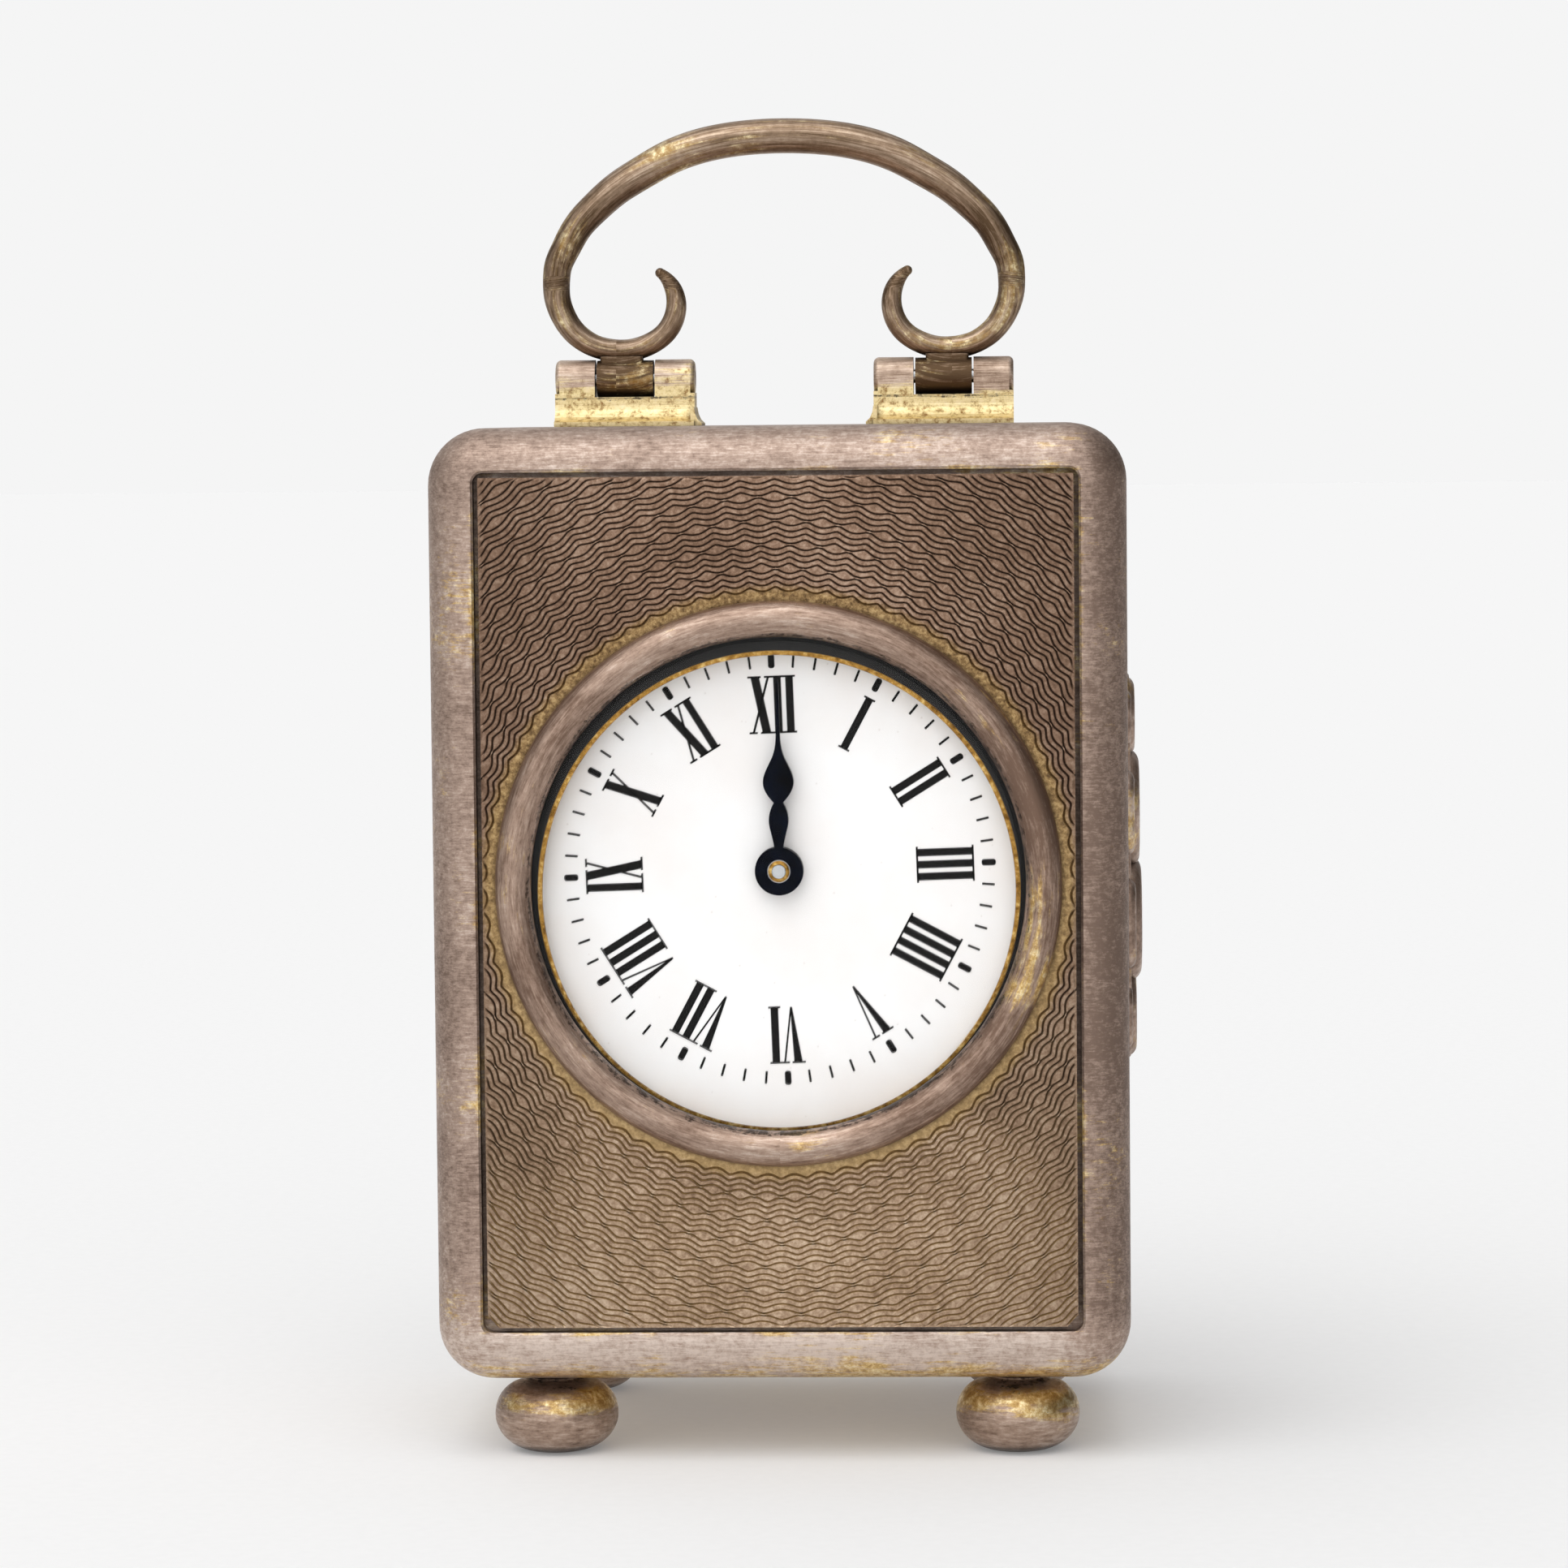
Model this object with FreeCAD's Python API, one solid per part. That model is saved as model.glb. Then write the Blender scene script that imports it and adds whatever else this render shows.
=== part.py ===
import FreeCAD, Part
import math
import os

# Miniature silver travelling clock: rounded case on four bun feet, hinged scroll handle,
# enamel dial behind a half-round bezel, hinged back door, eight-day movement with a
# platform lever escapement. Millimetres. +Z up, +X to the right of the dial, dial faces -Y.
# Every angle in the XZ plane is counted clockwise from the top, as seen from the dial side.

V = FreeCAD.Vector
Y_AXIS = V(0, 1, 0)
Z_AXIS = V(0, 0, 1)

# ---- driving dimensions -------------------------------------------------------------
CASE_W = 55.0            # body width, x
CASE_D = 42.0            # body depth, y
FOOT_H = 6.4             # underside of the body above the table
CASE_TOP = 81.9          # top of the body
CASE_R = 4.5             # corner radius of the body seen from the dial
WALL = 1.0               # sheet thickness of the wrapped band
EDGE_R = 3.4             # rounding of the front moulding
GAP = 0.3                # visible groove between the moulding and the panel

PANEL_X = 23.7           # half width of the panel opening
PANEL_Z0 = 10.5
PANEL_Z1 = 78.4
PANEL_Y = -20.9          # face of the engine-turned panel
PANEL_T = 1.1

BEZEL_Z = 46.0           # centre of the bezel
DIAL_Z = 46.9            # centre of the dial and of the hands
BEZEL_Y = -22.8          # crest of the half-round bezel
GLASS_R = 20.25
HOLE_R = 21.05           # hole in the panel

PIVOT_X = 13.0           # handle hinge centres, +-x
PIVOT_Z = 85.8
BARREL_R = 1.55          # hinge knuckle
PIN_R = 0.58             # handle hinge pin

DOOR_AX = (-21.9, 21.75)   # axis of the back door hinge, (x, y)

PLATE_T = 1.2
FRONT_PLATE = -14.3      # dial-side face of the front plate
BACK_PLATE = 6.9         # inner face of the back plate
PLATE_X = 21.0
PLATE_Z0 = 14.2
PLATE_Z1 = 68.0

# arbor positions (x, z)
CENTRE = (0.0, DIAL_Z)
BARREL = (0.0, 27.2)
INTER = (5.775, 39.997)
THIRD = (-5.552, 53.52)
CONTRATE = (0.0, 59.5)
MINUTE = (6.0, DIAL_Z)

# the platform's own arbors (x, y)
ESCAPE = (0.0, 1.7)
LEVER = (0.0, -2.2)
BALANCE = (0.0, -6.6)
PLATFORM_Z = 68.03
PLATFORM_T = 1.2

# wheels and pinions: (teeth, module)
GREAT = (96, 0.26)
INTER_PINION = (12, 0.26)
INTER_WHEEL = (48, 0.30)
CENTRE_PINION = (12, 0.30)
CENTRE_WHEEL = (64, 0.24)
THIRD_PINION = (8, 0.24)
THIRD_WHEEL = (60, 0.24)
CONTRATE_PINION = (8, 0.24)
CONTRATE_TEETH = 70
ESCAPE_PINION = (7, 0.20)
CANNON = (12, 0.25)
MINUTE_WHEEL = (36, 0.25)
MINUTE_PINION = (10, 0.24)
HOUR_WHEEL = (40, 0.24)

os.makedirs("parts", exist_ok=True)


# ---- shape helpers ------------------------------------------------------------------
def save(shape, node):
    shape.exportStep("parts/" + node + ".step")


def box(x0, x1, y0, y1, z0, z1):
    return Part.makeBox(x1 - x0, y1 - y0, z1 - z0, V(x0, y0, z0))


def cyl_x(y, z, r, x0, x1):
    return Part.makeCylinder(r, x1 - x0, V(x0, y, z), V(1, 0, 0))


def cyl_y(x, z, r, y0, y1):
    return Part.makeCylinder(r, y1 - y0, V(x, y0, z), Y_AXIS)


def cyl_z(x, y, r, z0, z1):
    return Part.makeCylinder(r, z1 - z0, V(x, y, z0), Z_AXIS)


def fuse(shapes):
    whole = shapes[0]
    for shape in shapes[1:]:
        whole = whole.fuse(shape)
    return whole.removeSplitter()


def cut(shape, tools):
    for tool in tools:
        shape = shape.cut(tool)
    return shape


def slab_y(x0, x1, z0, z1, r, y0, y1):
    """Plate facing the dial side, with its four corners rounded."""
    plate = box(x0, x1, y0, y1, z0, z1)
    edges = [e for e in plate.Edges if abs(e.Vertexes[0].Y - e.Vertexes[-1].Y) > 1e-6]
    return plate.makeFillet(r, edges)


def slab_z(x0, x1, y0, y1, r, z0, z1):
    plate = box(x0, x1, y0, y1, z0, z1)
    edges = [e for e in plate.Edges if abs(e.Vertexes[0].Z - e.Vertexes[-1].Z) > 1e-6]
    return plate.makeFillet(r, edges)


def turned_y(x, z, profile):
    """Lathe work about an arbor along Y; profile is a closed list of (radius, y)."""
    points = [V(x + r, y, z) for r, y in profile]
    face = Part.Face(Part.makePolygon(points + points[:1]))
    return face.revolve(V(x, 0, z), Y_AXIS, 360)


def turned_z(x, y, profile):
    points = [V(x + r, y, z) for r, z in profile]
    face = Part.Face(Part.makePolygon(points + points[:1]))
    return face.revolve(V(x, y, 0), Z_AXIS, 360)


def stepped_arbor(x, z, steps):
    """Round arbor along Y from a list of (y, radius), the radius holding to the next y."""
    profile = [(0, steps[0][0])]
    for (y, r), (y_next, _) in zip(steps, steps[1:]):
        profile += [(r, y), (r, y_next)]
    profile.append((0, steps[-1][0]))
    return turned_y(x, z, profile)


def polygon_prism(points, y0, y1):
    """Prism along Y from (x, z) points."""
    corners = [V(px, y0, pz) for px, pz in points]
    face = Part.Face(Part.makePolygon(corners + corners[:1]))
    return face.extrude(V(0, y1 - y0, 0))


def at_angle(x, z, radius, degrees):
    """Point at a clockwise angle from the top."""
    a = math.radians(degrees)
    return (x + radius * math.sin(a), z + radius * math.cos(a))


def screw_y(x, z, head_r, head_y0, head_y1, shank_r, shank_y):
    """Slotted cheese-head screw along Y; the slot faces away from the shank."""
    head = cyl_y(x, z, head_r, head_y0, head_y1)
    shank = cyl_y(x, z, shank_r, min(shank_y, head_y0), max(shank_y, head_y1))
    depth = 0.3 * (head_y1 - head_y0)
    outer = head_y1 - depth if shank_y < head_y0 else head_y0
    slot = box(x - head_r, x + head_r, outer, outer + depth, z - 0.14, z + 0.14)
    return head.fuse(shank).cut(slot).removeSplitter()


def screw_z(x, y, head_r, head_z0, head_z1, shank_r, shank_z):
    head = cyl_z(x, y, head_r, head_z0, head_z1)
    shank = cyl_z(x, y, shank_r, min(shank_z, head_z0), max(shank_z, head_z1))
    depth = 0.3 * (head_z1 - head_z0)
    outer = head_z1 - depth if shank_z < head_z0 else head_z0
    slot = box(x - head_r, x + head_r, y - 0.12, y + 0.12, outer, outer + depth)
    return head.fuse(shank).cut(slot).removeSplitter()


# ---- gear teeth ---------------------------------------------------------------------
def epicycloid(pitch_r, rolling_r, turn):
    """Radius and side offset of the cycloidal flank after the circle has rolled by turn."""
    big = pitch_r + rolling_r
    ratio = big / rolling_r
    px = big * math.cos(turn) - rolling_r * math.cos(ratio * turn)
    py = big * math.sin(turn) - rolling_r * math.sin(ratio * turn)
    return math.hypot(px, py), math.atan2(py, px)


def wheel_outline(teeth, module, mate_teeth, phase):
    """Clock wheel: radial flanks below the pitch circle, cycloidal points above it."""
    pitch_r = teeth * module / 2
    rolling_r = mate_teeth * module / 4
    half = math.pi / teeth * 0.45
    root_r = pitch_r - 0.85 * module
    turns = [0.0]
    step = 0.0005
    offset = 0.0
    turn = 0.0
    while offset < half * 0.86:
        turn += step
        radius, offset = epicycloid(pitch_r, rolling_r, turn)
    tip_turn = turn
    mid_r, mid_off = epicycloid(pitch_r, rolling_r, tip_turn * 0.62)
    tip_r, tip_off = epicycloid(pitch_r, rolling_r, tip_turn)
    side = [(root_r, half), (pitch_r, half), (mid_r, half - mid_off), (tip_r, half - tip_off)]
    points = []
    for k in range(teeth):
        centre = phase + 360.0 * k / teeth
        for r, a in side:
            points.append(at_angle(0, 0, r, centre - math.degrees(a)))
        for r, a in reversed(side):
            points.append(at_angle(0, 0, r, centre + math.degrees(a)))
    return points


def pinion_outline(leaves, module, phase):
    """Clock pinion: radial flanks and half-round leaf ends."""
    pitch_r = leaves * module / 2
    share = 0.34 if leaves < 10 else 0.38
    half = math.pi / leaves * share
    cap = pitch_r * half
    root_r = pitch_r - 1.45 * module
    side = [(root_r, half), (pitch_r, half)]
    for lift in (0.5, 0.86):
        narrow = math.sqrt(1 - lift * lift)
        side.append((pitch_r + cap * lift, half * narrow))
    points = []
    for k in range(leaves):
        centre = phase + 360.0 * k / leaves
        for r, a in side:
            points.append(at_angle(0, 0, r, centre - math.degrees(a)))
        for r, a in reversed(side):
            points.append(at_angle(0, 0, r, centre + math.degrees(a)))
    return points


def wheel(place, gear, mate, phase, y0, y1):
    outline = wheel_outline(gear[0], gear[1], mate[0], phase)
    return polygon_prism([(place[0] + px, place[1] + pz) for px, pz in outline], y0, y1)


def pinion(place, gear, phase, y0, y1):
    outline = pinion_outline(gear[0], gear[1], phase)
    return polygon_prism([(place[0] + px, place[1] + pz) for px, pz in outline], y0, y1)


def meshed_phase(driver, driver_place, driver_phase, teeth, place):
    """Phase that puts a gap of the second gear opposite each tooth of the first."""
    line = math.degrees(math.atan2(place[0] - driver_place[0], place[1] - driver_place[1]))
    pitch = 360.0 / driver
    lead = (driver_phase - line + pitch / 2) % pitch - pitch / 2
    return line + 180.0 - lead * driver / teeth + 180.0 / teeth


def crossings(place, r_in, r_out, count, bar, y0, y1):
    """The windows between the spokes of a wheel."""
    ring = cyl_y(place[0], place[1], r_out, y0, y1).cut(cyl_y(place[0], place[1], r_in, y0, y1))
    bars = []
    for k in range(count):
        spoke = box(-bar / 2, bar / 2, y0, y1, 0, r_out + 1)
        spoke.rotate(V(0, 0, 0), Y_AXIS, 360.0 * k / count)
        spoke.translate(V(place[0], 0, place[1]))
        bars.append(spoke)
    return cut(ring, bars)


# ---- case ---------------------------------------------------------------------------
def frame_block(x0, x1, z0, z1, y_face, y_seam, rounding):
    """Solid cast block with rounded corners and a rounded outer edge on one face."""
    block = slab_y(x0, x1, z0, z1, CASE_R, min(y_face, y_seam), max(y_face, y_seam))
    rim = [e for e in block.Edges
           if all(abs(v.Y - y_face) < 1e-6 for v in e.Vertexes)]
    return block.makeFillet(rounding, rim)


half_w = CASE_W / 2
half_d = CASE_D / 2
SEAM_FRONT = -17.4
SEAM_BACK = 17.1
inner = (-half_w + WALL, half_w - WALL, FOOT_H + WALL, CASE_TOP - WALL)
spigot = (inner[0] + 0.03, inner[1] - 0.03, inner[2] + 0.03, inner[3] - 0.03)
foot_spots = [(sx * 18.5, sy * 14.0) for sx in (-1, 1) for sy in (-1, 1)]

front = frame_block(-half_w, half_w, FOOT_H, CASE_TOP, -half_d, SEAM_FRONT, EDGE_R)
front = front.fuse(slab_y(spigot[0], spigot[1], spigot[2], spigot[3], CASE_R - WALL,
                          SEAM_FRONT, SEAM_FRONT + 1.5))
front = cut(front, [
    slab_y(-PANEL_X, PANEL_X, PANEL_Z0, PANEL_Z1, 0.8, -half_d, -19.75),
    slab_y(-22.4, 22.4, 11.8, 77.1, 0.8, -half_d, SEAM_FRONT),
    slab_y(-25.4, 25.4, 8.5, 79.8, 2.5, -18.4, SEAM_FRONT + 1.5),
])
lip = [e for e in front.Edges
       if all(abs(v.Y + half_d) < 1e-6 for v in e.Vertexes)
       and all(abs(v.X) < PANEL_X + 0.1 for v in e.Vertexes)]
front = front.makeChamfer(0.18, lip)
save(front.removeSplitter(), "front_frame")

wrap = slab_y(-half_w, half_w, FOOT_H, CASE_TOP, CASE_R, SEAM_FRONT + 0.08, SEAM_BACK - 0.08)
wrap = wrap.cut(slab_y(inner[0], inner[1], inner[2], inner[3], CASE_R - WALL,
                       SEAM_FRONT, SEAM_BACK))
bracket_holes = [cyl_z(sx * PIVOT_X + dx, 0, 0.65, CASE_TOP - 2, CASE_TOP + 1)
                 for sx in (-1, 1) for dx in (-3.9, 3.9)]
foot_holes = [cyl_z(x, y, 1.05, FOOT_H - 1, FOOT_H + 2) for x, y in foot_spots]
save(cut(wrap, bracket_holes + foot_holes), "case_wrap")

back = frame_block(-half_w, half_w, FOOT_H, CASE_TOP, half_d, SEAM_BACK, 2.4)
back = back.fuse(slab_y(spigot[0], spigot[1], spigot[2], spigot[3], CASE_R - WALL,
                        SEAM_BACK - 1.2, SEAM_BACK))
back = cut(back, [
    slab_y(-21.5, 21.5, 12.0, 76.4, 1.0, 19.6, half_d),
    slab_y(-20.3, 20.3, 13.2, 75.2, 1.0, SEAM_BACK, half_d),
    slab_y(-25.4, 25.4, 8.5, 79.8, 2.5, SEAM_BACK - 1.2, 18.2),
])


def hinge_knuckles(spans, leaf_x0, leaf_x1, leaf_y0, leaf_y1, bore_r):
    """Knuckles of the door hinge with the leaf that carries them."""
    ax, ay = DOOR_AX
    solids = []
    for z0, z1 in spans:
        leaf = box(leaf_x0, leaf_x1, leaf_y0, leaf_y1, z0, z1)
        knuckle = cyl_z(ax, ay, 0.75, z0, z1)
        solids.append(fuse([leaf, knuckle]).cut(cyl_z(ax, ay, bore_r, z0, z1)))
    return solids


frame_spans = [(15.0, 24.0), (38.0, 50.4), (64.4, 73.4)]
door_spans = [(24.2, 37.8), (50.6, 64.2)]
back = fuse([back] + hinge_knuckles(frame_spans, -24.6, DOOR_AX[0], 20.98, 21.45, 0.37))
save(back, "back_frame")

door = slab_y(-21.2, 21.2, 12.3, 76.1, 0.8, 19.9, 20.9)
rim = [e for e in door.Edges if all(abs(v.Y - 20.9) < 1e-6 for v in e.Vertexes)]
door = door.makeChamfer(0.25, rim)
door_leaves = [box(-21.1, -18.0, 20.8, 21.2, z0, z1) for z0, z1 in door_spans]
door = fuse([door] + door_leaves
            + hinge_knuckles(door_spans, DOOR_AX[0], -18.0, 21.05, 21.45, 0.40))
door = door.cut(cyl_y(18.3, 44.2, 0.61, 19.0, 22.0))
save(door, "back_door")
save(cyl_z(DOOR_AX[0], DOOR_AX[1], 0.35, 14.7, 73.7), "door_hinge_pin")

# turned pull with a waist, its stem riveted through the door, and a spring tongue behind it
pull = turned_y(18.3, 44.2, [(0, 19.3), (1.1, 19.3), (1.1, 19.85), (0.59, 19.85), (0.59, 20.92),
                             (0.95, 20.95), (0.75, 21.5), (1.25, 21.9), (1.45, 22.3),
                             (1.25, 22.65), (0.7, 22.8), (0, 22.8)])
tongue = box(18.0, 20.6, 19.35, 19.55, 43.2, 45.2)
save(fuse([pull, tongue]).cut(box(20.15, 21, 19, 20, 40, 50)), "door_pull")

panel = slab_y(-PANEL_X + GAP, PANEL_X - GAP, PANEL_Z0 + GAP, PANEL_Z1 - GAP, 0.6,
               PANEL_Y, PANEL_Y + PANEL_T)
panel = panel.cut(cyl_y(0, BEZEL_Z, HOLE_R, -22, -19))
save(panel, "front_panel")

# half-round bezel: its crest is half an ellipse, and its spigot carries the crystal
CREST_R = 20.83
CREST_HALF = 1.42
crest_middle = V(CREST_R, -21.45, BEZEL_Z)
crest = Part.Ellipse(crest_middle + V(CREST_HALF, 0, 0), crest_middle + V(0, -1.35, 0), crest_middle)
crest_edge = Part.Arc(crest, 0, math.pi).toShape()
rim = [(CREST_R - CREST_HALF, -21.45), (CREST_R - CREST_HALF, -21.4), (20.3, -21.4), (20.3, -18.65),
       (21.0, -18.65), (21.0, -20.93), (CREST_R + CREST_HALF, -20.93), (CREST_R + CREST_HALF, -21.45)]
rim_edges = Part.makePolygon([V(r, y, BEZEL_Z) for r, y in rim]).Edges
bezel_face = Part.Face(Part.Wire(Part.__sortEdges__([crest_edge] + rim_edges)))
save(bezel_face.revolve(V(0, 0, BEZEL_Z), Y_AXIS, 360), "bezel")

glass = [(0, -21.38), (19.0, -21.38), (GLASS_R, -21.3), (GLASS_R, -20.62), (0, -20.62)]
save(turned_y(0, BEZEL_Z, glass), "crystal")

ring = turned_y(0, BEZEL_Z, [(0, -20.58), (19.05, -20.58), (19.05, -20.1), (20.25, -20.1),
                             (20.25, -18.7), (0, -18.7)])
sight = turned_y(0, BEZEL_Z - 0.65, [(0, -21), (18.75, -21), (18.6, -20.4), (19.1, -18.5),
                                     (0, -18.5)])
save(ring.cut(sight), "sight_ring")

# applied scalloped ornament on each flank: a thin oval plate under four stacked pillows,
# each flanked by two small leaves; rows are (z, half width, half height, lift)
LOBES = [(57.9, 3.9, 3.2, 0.85), (50.3, 5.1, 4.9, 1.2), (41.3, 5.3, 5.2, 1.35),
         (33.6, 4.0, 3.6, 0.9)]


def pillow(wall_x, side, y, z, half_y, half_z, lift, rounding):
    """Round-ended boss standing out from the flank, with a rounded outer edge."""
    boss = box(min(wall_x, wall_x + side * lift), max(wall_x, wall_x + side * lift),
               y - half_y, y + half_y, z - half_z, z + half_z)
    corners = [e for e in boss.Edges if abs(e.Vertexes[0].X - e.Vertexes[-1].X) > 1e-6]
    boss = boss.makeFillet(0.96 * min(half_y, half_z), corners)
    rim = [e for e in boss.Edges
           if all(abs(v.X - wall_x - side * lift) < 1e-6 for v in e.Vertexes)]
    return boss.makeFillet(rounding * lift, rim)


for side, node in ((-1, "side_cartouche_left"), (1, "side_cartouche_right")):
    wall_x = side * (half_w + 0.02)
    solids = [pillow(wall_x, side, 0, 45.6, 4.6, 15.8, 0.45, 0.6)]
    for z, half_y, half_z, lift in LOBES:
        solids.append(pillow(wall_x, side, 0, z, half_y, half_z, lift, 0.92))
        for sy in (-1, 1):
            solids.append(pillow(wall_x, side, sy * half_y, z, half_y * 0.42, half_z * 0.7,
                                 lift * 0.6, 0.9))
    whole = solids[0]
    for solid in solids[1:]:
        whole = whole.fuse(solid)
    save(whole, node)

# ---- feet ---------------------------------------------------------------------------
BUN = [(1.5, 0.0), (3.0, 0.28), (4.25, 1.15), (4.9, 2.45), (4.9, 3.45), (4.35, 4.7), (3.3, 5.45),
       (2.5, 5.72), (2.3, 5.95), (2.55, 6.2), (2.75, 6.38)]
names = ["foot_front_left", "foot_back_left", "foot_front_right", "foot_back_right"]
for (x, y), name in zip(foot_spots, names):
    curve = Part.BSplineCurve()
    curve.interpolate([V(x + r, y, z) for r, z in BUN])
    corners = [V(x + 2.75, y, 6.38), V(x + 0.98, y, 6.38), V(x + 0.98, y, 9.9), V(x, y, 9.9),
               V(x, y, 0), V(x + 1.5, y, 0)]
    edges = [curve.toShape()]
    edges += [Part.makeLine(a, b) for a, b in zip(corners, corners[1:])]
    foot = Part.Face(Part.Wire(edges)).revolve(V(x, y, 0), Z_AXIS, 360)
    save(foot, name)
nuts = []
for x, y in foot_spots:
    points = [V(x + 2.1 * math.cos(math.radians(60 * k)), y + 2.1 * math.sin(math.radians(60 * k)),
                FOOT_H + WALL + 0.02) for k in range(6)]
    nut = Part.Face(Part.makePolygon(points + points[:1])).extrude(V(0, 0, 1.6))
    nuts.append(nut.cut(cyl_z(x, y, 1.0, 5, 12)))
save(Part.makeCompound(nuts), "foot_nuts")

# ---- handle hinges and handle -------------------------------------------------------
BRACKET_W = 11.4
KNUCKLE_GAP = 4.9
for side, name in ((-1, "bracket_left"), (1, "bracket_right")):
    cx = side * PIVOT_X
    flare = []
    for k in range(7):
        a = math.radians(90 * k / 6)
        flare.append((3.0 - 1.45 * math.sin(a), CASE_TOP + 0.4 + 1.3 * (1 - math.cos(a))))
    right = [(3.0, CASE_TOP + 0.02)] + flare + [(BARREL_R, PIVOT_Z)]
    left = [(-y, z) for y, z in reversed(right)]
    points = [V(cx - BRACKET_W / 2, y, z) for y, z in right + left]
    web = Part.Face(Part.makePolygon(points + points[:1])).extrude(V(BRACKET_W, 0, 0))
    drum = cyl_x(0, PIVOT_Z, BARREL_R, cx - BRACKET_W / 2, cx + BRACKET_W / 2)
    ends = [e for e in drum.Edges if e.Closed and len(e.Vertexes) == 1]
    drum = drum.makeFillet(0.45, ends)
    web_top = box(cx - BRACKET_W / 2 + 0.35, cx + BRACKET_W / 2 - 0.35, -4, 4, PIVOT_Z - 1.2,
                  PIVOT_Z + 1)
    web_low = box(cx - BRACKET_W, cx + BRACKET_W, -4, 4, CASE_TOP - 1, PIVOT_Z - 1.2)
    web = web.common(fuse([web_top, web_low]))
    inner = cx - side * BRACKET_W / 2
    toe = [(0.3, 1.5), (0.0, 1.5), (-0.1, 0.95), (-0.3, 0.5), (-0.62, 0.2), (-0.62, 0.0), (0.3, 0.0)]
    toe = [V(inner + side * x, -2.6, CASE_TOP + 0.02 + z) for x, z in toe]
    toe = Part.Face(Part.makePolygon(toe + toe[:1])).extrude(V(0, 5.2, 0))
    bracket = fuse([web, drum, toe])
    slot = box(cx - KNUCKLE_GAP / 2, cx + KNUCKLE_GAP / 2, -4, 4, PIVOT_Z - 1.5, PIVOT_Z + 4)
    seat = cyl_x(0, PIVOT_Z, 1.72, cx - KNUCKLE_GAP / 2, cx + KNUCKLE_GAP / 2)
    bracket = cut(bracket, [slot, seat, cyl_x(0, PIVOT_Z, PIN_R + 0.02, cx - 8, cx + 8)])
    bracket = cut(bracket, [cyl_z(cx + dx, 0, 0.61, CASE_TOP - 1, CASE_TOP + 1.9)
                            for dx in (-3.9, 3.9)])
    save(bracket, name)
pins = []
for side in (-1, 1):
    cx = side * PIVOT_X
    pins.append(cyl_x(0, PIVOT_Z, PIN_R, cx - BRACKET_W / 2 + 0.05, cx + BRACKET_W / 2 - 0.05))
save(Part.makeCompound(pins), "handle_pins")
screws = [screw_z(sx * PIVOT_X + dx, 0, 1.2, CASE_TOP - WALL - 1.0, CASE_TOP - WALL - 0.02, 0.58,
                  CASE_TOP + 1.75) for sx in (-1, 1) for dx in (-3.9, 3.9)]
save(Part.makeCompound(screws), "bracket_screws")

# centre line of half the bail as (x, z, rod diameter), from the crown to the curled tip
BAIL = [(0.0, 105.43, 2.85), (3.3, 105.27, 2.85), (6.53, 104.72, 2.85), (9.2, 103.80, 2.83),
        (11.6, 102.50, 2.76), (13.6, 101.25, 2.68), (15.35, 99.75, 2.58), (16.8, 98.2, 2.48),
        (17.8, 96.45, 2.38), (18.42, 95.1, 2.30), (18.6, 93.6, 2.22), (18.5, 92.2, 2.14),
        (18.05, 90.95, 2.06), (17.4, 89.9, 1.98), (16.55, 89.1, 1.91), (15.55, 88.5, 1.86),
        (14.4, 88.2, 1.82), (13.4, 88.1, 1.80), (12.4, 88.17, 1.80), (11.4, 88.45, 1.80),
        (10.4, 88.95, 1.79), (9.6, 89.65, 1.77), (9.08, 90.5, 1.75), (8.82, 91.4, 1.70),
        (8.85, 92.4, 1.58), (9.2, 93.4, 1.32), (9.75, 94.1, 1.00), (10.1, 94.4, 0.80)]


def rod_rings(stations, count):
    """Circles across the smooth curve through the stations, the diameter following them."""
    curve = Part.BSplineCurve()
    curve.interpolate([V(x, 0, z) for x, z, _ in stations])
    marks = [curve.parameter(V(x, 0, z)) for x, z, _ in stations]
    circles = []
    span = 0
    for k in range(count + 1):
        t = marks[0] + (marks[-1] - marks[0]) * k / count
        while span < len(marks) - 2 and t > marks[span + 1]:
            span += 1
        share = (t - marks[span]) / (marks[span + 1] - marks[span])
        width = stations[span][2] * (1 - share) + stations[span + 1][2] * share
        circle = Part.Circle(curve.value(t), curve.tangent(t)[0], width / 2)
        circle.XAxis = V(0, 1, 0)
        circles.append(Part.Wire(circle.toShape()))
    return circles


full = [(-x, z, d) for x, z, d in reversed(BAIL[1:])] + BAIL
rod = Part.makeLoft(rod_rings(full, 60), True, False)
handle_parts = [rod]
for side in (-1, 1):
    tip = BAIL[-1]
    handle_parts.append(Part.makeSphere(tip[2] / 2 + 0.005, V(side * tip[0], 0, tip[1])))
    cx = side * PIVOT_X
    handle_parts.append(cyl_x(0, PIVOT_Z, 1.5, cx - 2.3, cx + 2.3))
    join = cx + side * 0.3
    handle_parts.append(slab_z(join - 1.75, join + 1.75, -0.8, 0.8, 0.3, PIVOT_Z + 0.9, 87.62))
handle = handle_parts[0]
for piece in handle_parts[1:]:
    handle = handle.fuse(piece)
handle = cut(handle, [cyl_x(0, PIVOT_Z, PIN_R + 0.05, sx * PIVOT_X - 3, sx * PIVOT_X + 3)
                      for sx in (-1, 1)])
save(handle, "handle")

# ---- dial and hands -----------------------------------------------------------------
cx, cz = CENTRE
dial_feet = [(0.0, 61.9), (-13.0, 39.4), (13.0, 39.4)]
enamel = cyl_y(cx, cz, 20.6, -18.4, -17.77)
save(enamel.cut(cyl_y(cx, cz, 1.6, -19, -17)), "dial")
copper = fuse([cyl_y(cx, cz, 20.4, -17.75, -17.5)]
              + [cyl_y(x, z, 0.5, -17.6, FRONT_PLATE + 1.0) for x, z in dial_feet])
save(copper.cut(cyl_y(cx, cz, 1.6, -19, -17)), "dial_back")


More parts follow.
